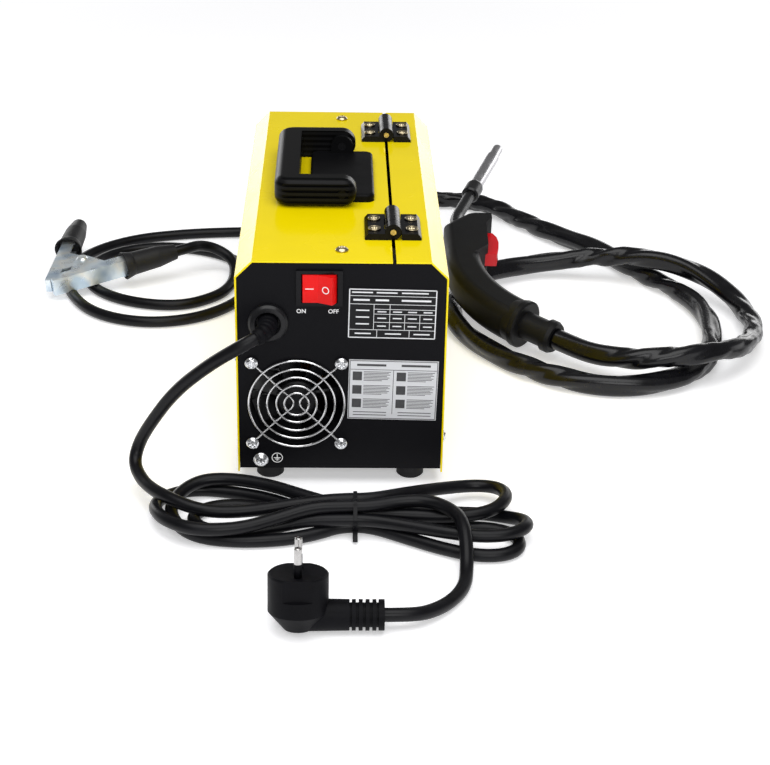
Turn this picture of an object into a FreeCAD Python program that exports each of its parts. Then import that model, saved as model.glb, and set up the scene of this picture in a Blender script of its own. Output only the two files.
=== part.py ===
"""Compact wire-feed (mig) welding machine with its torch, earth clamp and mains lead.

Frame: millimetres. The origin lies on the floor under the middle of the case. +Z is up, +Y runs from the
rear panel to the front panel and +X is to the right for someone who looks at the rear panel.
"""
import FreeCAD, Part
import math
import os
import Sketcher

V = FreeCAD.Vector
doc = FreeCAD.newDocument("WireFeedWelder")
sheet = doc.addObject("Spreadsheet::Sheet", "Sizes")
NODES = {}

# ------------------------------------------------------------------ driving dimensions
DRIVING = [
    # case
    ("case_depth", 329.2, "rear face to front face"),
    ("power_bay", 76.3, "left side of the end panels to the inner wall"),
    ("wire_bay", 63.1, "inner wall to the right side of the end panels"),
    ("panel_height", 155.4, "height of the end panels"),
    ("corner_cut", 10.8, "top corner cut of the panels"),
    ("foot_height", 12.5, "floor to the underside of the case"),
    ("foot_radius", 9.75, "rubber foot"),
    ("foot_inset_side", 20.5, "foot centre in from the panel's side"),
    ("foot_inset_end", 17.0, "foot centre in from the end face"),
    ("steel", 1.2, "sheet of covers, tray and divider"),
    ("panel_steel", 1.5, "sheet of the end panels"),
    ("rim_depth", 27.0, "folded rim of the end panels"),
    ("cover_gap", 0.3, "air between panels and covers"),
    ("cover_drop", 2.5, "cover side below the panel"),
    ("cover_overhang", 0.8, "cover past the end face"),
    ("tray_flange", 14.0, "upturned side of the tray"),
    ("door_top", 35.1, "joint line between cover and door to the right side of the end panels"),
    ("door_low", 50.0, "door's lower edge above the floor"),
    ("door_split_gap", 2.4, "width of that joint line"),
    ("divider_room", 8.2, "inner wall's top edge below the top of the end panels"),
    ("vent_length", 46.0, "cooling slot in the cover side"),
    ("vent_width", 3.5, "height of a cooling slot"),
    ("vent_pitch", 9.0, "one cooling slot to the next"),
    ("vent_count", 7, "cooling slots in a bank"),
    # door hinges
    ("hinge_size", 39.0, "hinge across both leaves and along the pin"),
    ("hinge_leaf", 4.6, "thickness of a leaf"),
    ("hinge_knuckle", 5.6, "radius of the knuckle"),
    ("hinge_lift", 5.9, "pin above the cover"),
    ("hinge_pin", 2.0, "radius of the pin"),
    ("hinge_place", 106.5, "hinge centre from the middle of the case"),
    ("pivot_play", 0.05, "radial clearance of every pivot"),
    ("side_play", 0.4, "side clearance of moving pieces"),
    # carrying handle
    ("handle_offset", -2.0, "middle of the handle along the case"),
    ("bail_length", 128.0, "outside length of the bail"),
    ("bail_reach", 48.5, "pivot to the outside of the grip"),
    ("bail_arm", 14.0, "thickness of an arm"),
    ("bail_grip", 17.5, "width of the grip"),
    ("bail_corner", 12.0, "outer corners of the bail"),
    ("bail_cap", 1.6, "wall of an arm over its pin's end"),
    ("bail_height", 21.6, "height of arms and grip"),
    ("bail_pivot_up", 11.0, "pivot above the cover"),
    ("bail_eye", 10.5, "round end of an arm"),
    ("handle_plate", 6.0, "thickness of the base plate"),
    ("handle_plate_width", 47.0, "width of the base plate"),
    ("handle_pin", 3.0, "radius of the handle pins"),
    ("groove_pitch", 4.2, "one arm groove to the next"),
    ("groove_width", 2.0, "height of an arm groove"),
    ("groove_depth", 2.0, "depth of an arm groove"),
    # rear panel fittings
    ("rocker_in", 55.45, "middle of the power switch from the left side of the panel"),
    ("rocker_down", 17.7, "middle of the power switch below the top of the panel"),
    ("bezel_width", 31.3, "switch frame"),
    ("bezel_height", 25.5, "switch frame"),
    ("bezel_thick", 2.0, "switch frame proud of the panel"),
    ("rocker_radius", 11.9, "half length of the rocker"),
    ("rocker_height", 20.0, "rocker along its axle"),
    ("gland_in", 20.7, "mains lead gland from the left side of the panel"),
    ("gland_z", 124.7, "mains lead gland above the floor"),
    ("gland_radius", 13.5, "flange of the gland"),
    ("gland_mouth", 8.0, "mouth of the gland"),
    ("gland_thick", 4.5, "flange proud of the panel"),
    ("lead_radius", 4.5, "mains lead"),
    ("fan_side", 4.8, "fan frame from the left side of the panel"),
    ("fan_room", 6.3, "power bay wider than the fan frame"),
    ("fan_z", 63.9, "fan axis above the floor"),
    ("fan_depth", 25.0, "fan frame"),
    ("fan_rim", 2.0, "thinnest wall of the fan frame"),
    ("fan_hub", 14.0, "radius of the fan hub"),
    ("fan_tip_gap", 1.4, "blade tips to the fan duct"),
    ("fan_corner", 8.5, "fan frame wider than its screw pitch"),
    ("guard_wire", 0.8, "radius of the guard wire"),
    ("pan_head", 4.5, "radius of a pan head screw"),
    ("pan_height", 2.9, "height of a pan head"),
    ("screw_shank", 2.0, "radius of a case screw"),
    ("screw_play", 0.2, "radial clearance of a screw in its hole"),
    ("earth_in", 14.6, "protective earth screw from the left side of the panel"),
    ("earth_z", 19.4, "protective earth screw above the floor"),
    ("plate_thick", 0.6, "rating and notice plates"),
    # front panel fittings
    ("knob_radius", 13.0, "control knob"),
    ("knob_height", 17.0, "control knob"),
    ("knob_x", 38.0, "control knobs either side of the middle"),
    ("knob_z", 130.0, "control knobs"),
    ("socket_radius", 14.0, "flange of a current socket"),
    ("socket_bore", 4.6, "hole for the cable plug's pin"),
    ("socket_z", 38.0, "current sockets"),
    ("socket_in", 26.3, "current socket of the earth cable from the left side of the panel"),
    ("socket_spacing", 36.0, "one current socket to the next"),
    ("outlet_in", 25.8, "torch outlet and wire line from the inner wall"),
    ("outlet_z", 80.4, "torch outlet and wire line above the floor"),
    ("hose_radius", 9.0, "torch hose"),
    ("earth_cable_radius", 4.75, "earth cable"),
    # wire feeder
    ("spool_radius", 50.0, "wire spool flange"),
    ("spool_room", 19.1, "wire bay wider than the spool"),
    ("spool_bore", 8.0, "hole of the spool"),
    ("spool_y", -84.0, "spool axis"),
    ("spool_z", 102.0, "spool axis"),
    ("wound_radius", 42.0, "wire on a full spool"),
    ("feed_y", 30.0, "drive roll axis along the case"),
    ("drive_radius", 12.0, "drive roll at its groove"),
    ("press_radius", 10.0, "pressure roll"),
    ("wire_size", 0.8, "welding wire diameter"),
    ("roll_width", 10.0, "both rolls"),
    ("roll_axle", 3.0, "radius of both roll axles"),
    ("arm_pivot_back", 26.0, "pressure arm pivot behind the rolls"),
    ("screw_ahead", 30.0, "tension screw ahead of the rolls"),
    # torch
    ("torch_grip_width", 32.0, "torch handle across its flat sides"),
    ("torch_grip_half", 14.5, "half height of the torch handle"),
    ("torch_bend", 127.4, "bend radius of the torch handle"),
    ("neck_radius", 5.2, "swan neck"),
    ("nozzle_radius", 6.1, "gas nozzle"),
    ("nozzle_length", 82.0, "gas nozzle"),
    ("trigger_width", 12.0, "torch trigger"),
    # earth clamp
    ("clamp_arm", 115.0, "earth clamp arm with its grip"),
    ("clamp_metal", 72.0, "bare length of a clamp arm"),
    ("clamp_pivot", 36.0, "jaw tip to the rivet along an arm"),
    ("clamp_width", 15.0, "outside width of the lower arm"),
    ("clamp_grip", 10.3, "radius of a clamp grip"),
    ("rivet_radius", 3.0, "clamp rivet"),
    # mains plug
    ("plug_radius", 18.7, "plug face"),
    ("plug_height", 27.5, "plug face above its back"),
    ("plug_x", -25.6, "middle of the plug face"),
    ("plug_y", -346.0, "middle of the plug face"),
    ("plug_pin", 2.4, "radius of a plug pin"),
    ("plug_pin_length", 19.0, "plug pin"),
    ("plug_pin_pitch", 19.0, "one plug pin to the other"),
    ("relief_radius", 9.6, "strain relief"),
    ("relief_z", 10.4, "strain relief above the floor"),
    ("relief_end", 27.2, "end of the strain relief"),
]


class Size:
    """A length that keeps its number and the expression that gives it from the sheet."""

    def __init__(self, number, text=None):
        self.number = float(number)
        self.text = repr(float(number)) if text is None else text

    @staticmethod
    def of(other):
        return other if isinstance(other, Size) else Size(other)

    def joined(self, other, sign, number):
        return Size(number, "(%s %s %s)" % (self.text, sign, Size.of(other).text))

    def __add__(self, other):
        return self.joined(other, "+", self.number + Size.of(other).number)

    def __sub__(self, other):
        return self.joined(other, "-", self.number - Size.of(other).number)

    def __mul__(self, other):
        return self.joined(other, "*", self.number * Size.of(other).number)

    def __truediv__(self, other):
        return self.joined(other, "/", self.number / Size.of(other).number)

    def __radd__(self, other):
        return Size.of(other) + self

    def __rsub__(self, other):
        return Size.of(other) - self

    def __rmul__(self, other):
        return Size.of(other) * self

    def __neg__(self):
        return Size(-self.number, "(0 - %s)" % self.text)

    def __float__(self):
        return self.number


class Sizes:
    """The driving dimensions by name."""


s = Sizes()
for row, (alias, number, meaning) in enumerate(DRIVING, start=1):
    sheet.set("A%d" % row, meaning)
    sheet.set("B%d" % row, str(number))
    sheet.setAlias("B%d" % row, alias)
    setattr(s, alias, Size(number, "Sizes.%s" % alias))
doc.recompute()

# ------------------------------------------------------------------ sizes that follow from them
half_depth = s.case_depth / 2
half_width = (s.power_bay + s.steel + s.wire_bay) / 2
floor_z = s.foot_height
roof_z = s.foot_height + s.panel_height
CORNER = math.tan(math.radians(22.5))
cover_z = roof_z + s.cover_gap + s.steel
cover_x = half_width + s.cover_gap + s.steel
tray_top = floor_z + s.steel
inner_y = half_depth - s.panel_steel
hinge_z = cover_z + s.hinge_lift
bail_z = cover_z + s.bail_pivot_up
bail_y0 = s.handle_offset - s.bail_length / 2
bail_y1 = s.handle_offset + s.bail_length / 2
plate_y0 = bail_y0 + s.bail_arm + s.side_play
plate_y1 = bail_y1 - s.bail_arm - s.side_play
divider_x = s.power_bay - half_width
divider_right = divider_x + s.steel
door_split_x = half_width - s.door_top
spool_width = s.wire_bay - s.spool_room
outlet_x = divider_right + s.outlet_in
socket_x = s.socket_in - half_width
rocker_x = s.rocker_in - half_width
gland_x = s.gland_in - half_width
earth_x = s.earth_in - half_width
fan_frame_size = s.power_bay - s.fan_room
fan_bore = fan_frame_size / 2 - s.fan_rim
fan_pitch = fan_frame_size - s.fan_corner
fan_x = s.fan_side + fan_frame_size / 2 - half_width
divider_top = roof_z - s.divider_room
rocker_z = roof_z - s.rocker_down
feed_z = s.outlet_z - s.drive_radius
press_z = s.outlet_z + s.wire_size + s.press_radius


# ------------------------------------------------------------------ ways of making
def bind(thing, prop, value):
    """Ties one property to the sheet."""
    thing.setExpression(prop, Size.of(value).text)


def place(thing, x=None, y=None, z=None, turn=None):
    """Puts a document object where the sheet says, with a fixed turn."""
    if turn is not None:
        thing.Placement = FreeCAD.Placement(V(0, 0, 0), turn)
    for axis, value in (("x", x), ("y", y), ("z", z)):
        if value is not None:
            bind(thing, "Placement.Base." + axis, value)
    return thing


TURNS = {
    "X": FreeCAD.Rotation(V(0, 1, 0), 90),
    "Y": FreeCAD.Rotation(V(1, 0, 0), -90),
    "Z": FreeCAD.Rotation(),
}


def box(name, xs, ys, zs):
    """Block between two corners."""
    block = doc.addObject("Part::Box", name)
    bind(block, "Length", xs[1] - Size.of(xs[0]))
    bind(block, "Width", ys[1] - Size.of(ys[0]))
    bind(block, "Height", zs[1] - Size.of(zs[0]))
    return place(block, xs[0], ys[0], zs[0])


def rod(name, axis, start, radius, length):
    """Cylinder that runs along an axis from its start point."""
    cylinder = doc.addObject("Part::Cylinder", name)
    bind(cylinder, "Radius", radius)
    bind(cylinder, "Height", length)
    return place(cylinder, *start, turn=TURNS[axis])


def cut(name, base, *tools):
    """Base less the tools."""
    for number, tool in enumerate(tools):
        step = doc.addObject("Part::Cut", name if number == len(tools) - 1 else name + "_step")
        step.Base = base
        step.Tool = tool
        base = step
    return base


def fuse(name, *pieces):
    """One solid of several."""
    joined = doc.addObject("Part::MultiFuse", name)
    joined.Shapes = list(pieces)
    return joined


def common(name, first, second):
    """What two solids share."""
    shared = doc.addObject("Part::Common", name)
    shared.Base = first
    shared.Tool = second
    return shared


def group(name, pieces):
    """Several like pieces that share a node."""
    together = doc.addObject("Part::Compound", name)
    together.Links = list(pieces)
    return together


def node(label, thing):
    """Marks the object that a file is written from."""
    thing.Label = label
    NODES[label] = thing
    return thing


def new_body(name):
    return doc.addObject("PartDesign::Body", name)


def sketch_on(body, role, name, offset=0):
    """Sketch on one of a body's own origin planes, moved along the plane's normal."""
    sketch = body.newObject("Sketcher::SketchObject", name)
    face = next(plane for plane in body.Origin.OriginFeatures if plane.Role == role)
    sketch.AttachmentSupport = (face, [""])
    sketch.MapMode = "FlatFace"
    bind(sketch, "AttachmentOffset.Base.z", offset)
    return sketch


def outline(sketch, corners):
    """Closed outline of straight sides through corners given in the sketch's plane."""
    first = sketch.GeometryCount
    count = len(corners)
    spots = [V(float(Size.of(x)), float(Size.of(y)), 0) for x, y in corners]
    for i in range(count):
        sketch.addGeometry(Part.LineSegment(spots[i], spots[(i + 1) % count]), False)
    for i in range(count):
        after = first + (i + 1) % count
        sketch.addConstraint(Sketcher.Constraint("Coincident", first + i, 2, after, 1))
    for i, (x, y) in enumerate(corners):
        fix_point(sketch, first + i, 1, x, y)


def fix_point(sketch, edge, end, x, y):
    """Ties a point of the sketch to the sheet."""
    for kind, value in (("DistanceX", Size.of(x)), ("DistanceY", Size.of(y))):
        number = sketch.addConstraint(Sketcher.Constraint(kind, -1, 1, edge, end, value.number))
        sketch.setExpression("Constraints[%d]" % number, value.text)


def circle(sketch, x, y, radius):
    """Circle with a tied centre and radius."""
    centre = V(float(Size.of(x)), float(Size.of(y)), 0)
    edge = sketch.addGeometry(Part.Circle(centre, V(0, 0, 1), float(Size.of(radius))), False)
    fix_point(sketch, edge, 3, x, y)
    number = sketch.addConstraint(Sketcher.Constraint("Radius", edge, float(Size.of(radius))))
    sketch.setExpression("Constraints[%d]" % number, Size.of(radius).text)


def window(sketch, xs, ys):
    """Rectangle between two corners."""
    outline(sketch, [(xs[0], ys[0]), (xs[1], ys[0]), (xs[1], ys[1]), (xs[0], ys[1])])


def pad(body, sketch, length, reverse=False):
    """Pad of a sketch."""
    feature = body.newObject("PartDesign::Pad", sketch.Name + "_pad")
    feature.Profile = sketch
    feature.Reversed = reverse
    bind(feature, "Length", length)
    body.Tip = feature
    return feature


def pocket(body, sketch, length=None, reverse=False):
    """Pocket of a sketch, to a length or (without one) through everything both ways; it must take material away."""
    doc.recompute()
    before = body.Shape.Volume
    feature = body.newObject("PartDesign::Pocket", sketch.Name + "_pocket")
    feature.Profile = sketch
    feature.Reversed = reverse
    if length is None:
        feature.Type = "ThroughAll"
        feature.SideType = "Symmetric"
    else:
        bind(feature, "Length", length)
    body.Tip = feature
    doc.recompute()
    if body.Shape.Volume > before - 1e-6:
        raise ValueError("%s cuts nothing" % feature.Name)
    return feature


def row_of(body, feature, axis_sketch, axis, pitch, count):
    """Linear pattern of a feature along a sketch axis."""
    pattern = body.newObject("PartDesign::LinearPattern", feature.Name + "_row")
    pattern.Originals = [feature]
    pattern.Direction = (axis_sketch, [axis])
    bind(pattern, "Length", pitch * (count - 1))
    bind(pattern, "Occurrences", count)
    body.Tip = pattern
    return pattern


def spin(body, corners, name):
    """Solid of revolution about the body's own Z axis, from (radius, height) corners."""
    sketch = sketch_on(body, "XZ_Plane", name)
    outline(sketch, corners)
    feature = body.newObject("PartDesign::Revolution", name + "_turned")
    feature.Profile = sketch
    feature.ReferenceAxis = (sketch, ["V_Axis"])
    feature.Angle = 360
    body.Tip = feature
    return feature


def turned(name, corners, axis="Z", at=()):
    """Body turned on a lathe, set along an axis at a point when one is given."""
    body = new_body(name)
    spin(body, corners, name + "_profile")
    return place(body, *at, turn=TURNS[axis]) if at else body


def round_edges(body, radius, picked):
    """Fillet of the edges that a test picks by their middle point and direction."""
    doc.recompute()
    base = body.Tip
    names = []
    for number, edge in enumerate(base.Shape.Edges, start=1):
        middle = edge.valueAt((edge.FirstParameter + edge.LastParameter) / 2)
        along = edge.tangentAt((edge.FirstParameter + edge.LastParameter) / 2)
        if picked(middle, along):
            names.append("Edge%d" % number)
    feature = body.newObject("PartDesign::Fillet", base.Name + "_fillet")
    feature.Base = (base, names)
    bind(feature, "Radius", radius)
    body.Tip = feature
    return feature


def made(name, shape, placement=None):
    """Object for a form that only Part's functions give."""
    thing = doc.addObject("Part::Feature", name)
    thing.Shape = shape
    if placement is not None:
        thing.Placement = placement
    return thing


def round_path(points):
    """Straight runs joined by tangent arcs, each arc as large as its two runs allow."""
    points = [V(*point) for point in points]
    edges = []
    radii = []
    last = points[0]
    for before, corner, after in zip(points, points[1:], points[2:]):
        back = before - corner
        ahead = after - corner
        reach = 0.45 * min(back.Length, ahead.Length)
        back.normalize()
        ahead.normalize()
        half_turn = (math.pi - back.getAngle(ahead)) / 2
        radius = reach / math.tan(half_turn)
        start = corner + back * reach
        end = corner + ahead * reach
        bisector = back + ahead
        bisector.normalize()
        middle = corner + bisector * (radius / math.cos(half_turn) - radius)
        edges.append(Part.LineSegment(last, start).toShape())
        edges.append(Part.Arc(start, middle, end).toShape())
        radii.append(radius)
        last = end
    edges.append(Part.LineSegment(last, points[-1]).toShape())
    return Part.Wire(edges), radii


def tube(name, points, radius):
    """Round cord or wire along a route; prints its radii and compares its volume."""
    path, radii = round_path(points)
    start = V(*points[0])
    ahead = V(*points[1]) - start
    section = Part.Wire([Part.makeCircle(float(radius), start, ahead)])
    solid = path.makePipeShell([section], True, False)
    if solid.Volume < 0:
        solid.reverse()
    ideal = math.pi * float(radius) ** 2 * path.Length
    smallest = min(radii) if radii else 0.0
    print("%s: length %.1f, smallest bend %.1f, volume ratio %.4f" % (
        name, path.Length, smallest, solid.Volume / ideal))
    print("   bends %s" % " ".join("%.0f" % bend for bend in radii))
    return made(name, solid)


def shell_corners(grow, low):
    """Front view of the case: a rectangle with both top corners cut, grown outward by a distance."""
    side = half_width + grow
    neck = half_width - s.corner_cut + Size.of(grow) * CORNER
    shoulder = roof_z - s.corner_cut + Size.of(grow) * CORNER
    top = roof_z + grow
    return [(-side, low), (side, low), (side, shoulder), (neck, top), (-neck, top), (-side, shoulder)]


OUTWARD = {
    "+X": FreeCAD.Rotation(V(0, 1, 0), 90),
    "-X": FreeCAD.Rotation(V(0, 1, 0), -90),
    "+Y": FreeCAD.Rotation(V(1, 0, 0), -90),
    "-Y": FreeCAD.Rotation(V(1, 0, 0), 90),
    "+Z": FreeCAD.Rotation(),
}


def screw(name, outward, at, length, head=s.pan_head, height=s.pan_height):
    """Pan head screw: the origin is under its head and it points outward."""
    body = new_body(name)
    spin(body, [
        (0, -Size.of(length)),
        (s.screw_shank, -Size.of(length)),
        (s.screw_shank, 0),
        (head, 0),
        (head, height * 0.35),
        (head * 0.75, height * 0.85),
        (head * 0.3, height),
        (0, height),
    ], name + "_profile")
    return place(body, *at, turn=OUTWARD[outward])


# ------------------------------------------------------------------ case
top_screw_y = half_depth - s.rim_depth * 0.7
side_screw_y = half_depth - s.rim_depth * 0.5
side_screw_z = floor_z + s.panel_height * 0.52
screw_hole = s.screw_shank + s.screw_play
gland_neck = s.gland_mouth + 2
fan_screws = [
    (fan_x + fan_pitch * a / 2, s.fan_z + fan_pitch * b / 2) for a in (-1, 1) for b in (-1, 1)
]
outlet_neck = s.hose_radius
socket_neck = s.socket_radius * 0.72
knob_shaft = 3.0
socket_places = [socket_x, socket_x + s.socket_spacing]


def end_panel(label, rear, openings):
    """End panel pressed from sheet with a rim folded inward on its sides and top."""
    facing = 1 if rear else -1
    start = (half_depth - s.rim_depth) * facing
    body = new_body(label)
    blank = sketch_on(body, "XZ_Plane", label + "_blank", start)
    outline(blank, shell_corners(0, floor_z))
    pad(body, blank, s.rim_depth, reverse=not rear)
    inside = sketch_on(body, "XZ_Plane", label + "_inside", start)
    outline(inside, shell_corners(-s.steel, floor_z - 5))
    pocket(body, inside, s.rim_depth - s.panel_steel, reverse=rear)
    cutouts = sketch_on(body, "XZ_Plane", label + "_cutouts")
    openings(cutouts)
    pocket(body, cutouts)
    top_hole = sketch_on(body, "XY_Plane", label + "_top_hole")
    circle(top_hole, 0, -facing * top_screw_y, screw_hole)
    pocket(body, top_hole)
    for name, z, left in (("_side_hole", side_screw_z, False), ("_low_hole", (floor_z + s.door_low) / 2, True)):
        hole = sketch_on(body, "YZ_Plane", label + name)
        circle(hole, -facing * side_screw_y, z, screw_hole)
        pocket(body, hole, 100, reverse=left)
    return node(label, body)


def rear_openings(sketch):
    half = s.bezel_width / 2 - 1.4
    tall = s.bezel_height / 2 - 1.4
    window(sketch, (rocker_x - half, rocker_x + half), (rocker_z - tall, rocker_z + tall))
    circle(sketch, gland_x, s.gland_z, gland_neck + s.screw_play)
    circle(sketch, fan_x, s.fan_z, fan_bore)
    for x, z in fan_screws:
        circle(sketch, x, z, screw_hole)
    circle(sketch, earth_x, s.earth_z, screw_hole)


def front_openings(sketch):
    for x in socket_places:
        circle(sketch, x, s.socket_z, socket_neck + s.screw_play)
    circle(sketch, outlet_x, s.outlet_z, outlet_neck + s.screw_play)
    for x in (-s.knob_x, s.knob_x):
        circle(sketch, x, s.knob_z, knob_shaft + 0.4)


foot_places = [
    ((half_width - s.foot_inset_side) * a, (half_depth - s.foot_inset_end) * b) for a in (-1, 1) for b in (-1, 1)
]
foot_stem = 3.0
sill_z = s.door_low - 2
low_screw_z = (floor_z + s.door_low) / 2


def chassis_tray():
    """Floor of the case, with both long sides turned up, the right one as a sill under the door."""
    side = half_width - s.steel
    rim = tray_top + s.tray_flange
    body = new_body("chassis_tray")
    section = sketch_on(body, "XZ_Plane", "tray_section", -inner_y)
    outline(section, [
        (-side, floor_z), (side, floor_z), (side, sill_z), (side - s.steel, sill_z),
        (side - s.steel, tray_top), (-side + s.steel, tray_top), (-side + s.steel, rim), (-side, rim),
    ])
    pad(body, section, inner_y * 2)
    holes = sketch_on(body, "XY_Plane", "tray_foot_holes")
    for x, y in foot_places:
        circle(holes, x, y, foot_stem + s.pivot_play)
    pocket(body, holes)
    low_holes = sketch_on(body, "YZ_Plane", "tray_low_holes")
    for y in (-side_screw_y, side_screw_y):
        circle(low_holes, y, low_screw_z, screw_hole)
    pocket(body, low_holes, 100, reverse=True)
    return node("chassis_tray", body)


def feet():
    """Push-in rubber feet."""
    feet = []
    for number, (x, y) in enumerate(foot_places):
        feet.append(turned("foot_%d" % number, [
            (0, 0), (s.foot_radius - 1.2, 0), (s.foot_radius, 1.2), (s.foot_radius - 0.8, floor_z),
            (foot_stem, floor_z), (foot_stem, tray_top), (foot_stem + 1.6, tray_top),
            (foot_stem, tray_top + 4), (0, tray_top + 4),
        ], "Z", (x, y, 0)))
    return node("feet", group("feet", feet))


def divider_wall():
    """Inner wall between the electronics and the wire bay, standing on a turned foot."""
    body = new_body("divider_wall")
    section = sketch_on(body, "XZ_Plane", "divider_section", -inner_y)
    outline(section, [
        (divider_x - 12, tray_top), (divider_right, tray_top), (divider_right, divider_top),
        (divider_x, divider_top), (divider_x, tray_top + s.steel),
        (divider_x - 12, tray_top + s.steel),
    ])
    pad(body, section, inner_y * 2)
    shaft = sketch_on(body, "YZ_Plane", "divider_shaft_hole")
    circle(shaft, s.feed_y, feed_z, s.roll_axle + 2)
    pocket(body, shaft)
    return node("divider_wall", body)


def skin(name, sign, split, low):
    """Bent sheet over one side of the case: side, cut corner and its share of the top."""
    outer = s.cover_gap + s.steel
    body = new_body(name)
    section = sketch_on(body, "XZ_Plane", name + "_section", -half_depth - s.cover_overhang)
    out = shell_corners(outer, low)
    inn = shell_corners(s.cover_gap, low)
    out_side, out_neck = out[1][0], out[3][0]
    in_side, in_neck = inn[1][0], inn[3][0]
    outline(section, [
        (out_side * sign, low), (out_side * sign, out[2][1]), (out_neck * sign, out[3][1]), (split, out[3][1]),
        (split, inn[3][1]), (in_neck * sign, inn[3][1]), (in_side * sign, inn[2][1]), (in_side * sign, low),
    ])
    pad(body, section, s.case_depth + s.cover_overhang * 2)
    return body


hinge_centres = [-s.hinge_place, s.hinge_place]
hinge_screw_x = s.hinge_size * 0.33
hinge_screw_y = s.hinge_size * 0.25


def hinge_screw_places(side):
    return [
        (door_split_x + hinge_screw_x * side, y + hinge_screw_y * end) for y in hinge_centres for end in (-1, 1)
    ]


def main_cover():
    """Fixed cover: left side with its cooling slots, left corner and most of the top."""
    body = skin("main_cover", -1, door_split_x - s.door_split_gap / 2, floor_z - s.cover_drop)
    holes = sketch_on(body, "XY_Plane", "cover_top_holes")
    for y in (-top_screw_y, top_screw_y):
        circle(holes, 0, y, screw_hole)
    for x, y in hinge_screw_places(-1):
        circle(holes, x, y, screw_hole)
    pocket(body, holes)
    sides = sketch_on(body, "YZ_Plane", "cover_side_holes")
    for y in (-side_screw_y, side_screw_y):
        circle(sides, y, side_screw_z, screw_hole)
    pocket(body, sides)
    vents = sketch_on(body, "YZ_Plane", "cover_vents")
    low = floor_z + s.panel_height * 0.2
    for middle in (-half_depth * 0.45, half_depth * 0.45):
        window(vents, (middle - s.vent_length / 2, middle + s.vent_length / 2), (low, low + s.vent_width))
    slots = pocket(body, vents)
    row_of(body, slots, vents, "V_Axis", s.vent_pitch, s.vent_count)
    return node("main_cover", body)


latch_z = sill_z + 12
latch_shaft = 3.0


def lower_side_sheet():
    """Fixed sheet under the door, screwed to the rims of both end panels."""
    end = half_depth + s.cover_overhang
    body = new_body("lower_side_sheet")
    face = sketch_on(body, "YZ_Plane", "lower_sheet_face", cover_x - s.steel)
    window(face, (-end, end), (floor_z - s.cover_drop, s.door_low - s.side_play))
    pad(body, face, s.steel)
    holes = sketch_on(body, "YZ_Plane", "lower_sheet_holes")
    for y in (-side_screw_y, side_screw_y):
        circle(holes, y, low_screw_z, screw_hole)
    pocket(body, holes)
    return node("lower_side_sheet", body)


def side_door():
    """Door over the wire bay: right side, right corner and the strip of top beside the joint line."""
    body = skin("side_door", 1, door_split_x + s.door_split_gap / 2, s.door_low)
    holes = sketch_on(body, "XY_Plane", "door_hinge_holes")
    for x, y in hinge_screw_places(1):
        circle(holes, x, y, screw_hole)
    pocket(body, holes)
    latch = sketch_on(body, "YZ_Plane", "door_latch_hole")
    circle(latch, 0, latch_z, latch_shaft + s.pivot_play)
    pocket(body, latch)
    return node("side_door", body)


def door_latch():
    """Quarter-turn latch: knob with a finger bar outside, shaft through the door and a cam inside."""
    body = new_body("door_latch")
    disc = sketch_on(body, "YZ_Plane", "latch_disc", cover_x + s.cover_gap)
    circle(disc, 0, latch_z, 10)
    pad(body, disc, 2.5)
    bar = sketch_on(body, "YZ_Plane", "latch_bar", cover_x + s.cover_gap)
    window(bar, (-8.5, 8.5), (latch_z - 2, latch_z + 2))
    pad(body, bar, 8)
    cam_x = half_width - s.steel * 2 - 4
    shaft = sketch_on(body, "YZ_Plane", "latch_shaft", cam_x)
    circle(shaft, 0, latch_z, latch_shaft)
    pad(body, shaft, cover_x + s.cover_gap - cam_x)
    cam = sketch_on(body, "YZ_Plane", "latch_cam", cam_x)
    window(cam, (-17, 5), (latch_z - 5, latch_z + 5))
    pad(body, cam, 2.5)
    return node("door_latch", body)


# ------------------------------------------------------------------ door hinges
def hinge_leaf(name, centre, side):
    """Moulded leaf: plate with a bevelled edge and its part of the knuckle (side -1 fixed, 1 moving)."""
    half = s.hinge_size / 2
    third = s.hinge_size / 4
    edge = door_split_x + half * side
    body = new_body(name)
    plate = sketch_on(body, "XZ_Plane", name + "_plate", -(centre + half))
    outline(plate, [
        (door_split_x, cover_z), (edge, cover_z), (edge, cover_z + s.hinge_leaf * 0.4),
        (edge - s.hinge_leaf * 0.5 * side, cover_z + s.hinge_leaf), (door_split_x, cover_z + s.hinge_leaf),
    ])
    pad(body, plate, s.hinge_size)
    knuckle = sketch_on(body, "XZ_Plane", name + "_knuckle", -(centre + half))
    circle(knuckle, door_split_x, hinge_z, s.hinge_knuckle)
    pad(body, knuckle, s.hinge_size)
    clear = s.hinge_knuckle + s.side_play
    gaps = sketch_on(body, "XY_Plane", name + "_gaps", cover_z - 5)
    far = door_split_x - (clear + 2) * side
    near = door_split_x + clear * side
    across = (near, far) if side < 0 else (far, near)
    if side < 0:
        window(gaps, across, (centre - third, centre + third))
    else:
        inset = third - s.side_play
        window(gaps, across, (centre - half - 1, centre - inset))
        window(gaps, across, (centre + inset, centre + half + 1))
    pocket(body, gaps, 40, reverse=True)
    hole = sketch_on(body, "XZ_Plane", name + "_pin_hole")
    circle(hole, door_split_x, hinge_z, s.hinge_pin + s.pivot_play)
    pocket(body, hole)
    screws = sketch_on(body, "XY_Plane", name + "_screw_holes")
    for end in (-1, 1):
        circle(screws, door_split_x + hinge_screw_x * side, centre + hinge_screw_y * end, screw_hole)
    pocket(body, screws)
    return body


def hinge_parts():
    for label, side in (("hinge_fixed_leaves", -1), ("hinge_moving_leaves", 1)):
        leaves = [hinge_leaf("%s_%d" % (label, i), centre, side) for i, centre in enumerate(hinge_centres)]
        node(label, group(label, leaves))
    return node("hinge_screws_door", group("hinge_screws_door", hinge_screws(1)))


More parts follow.
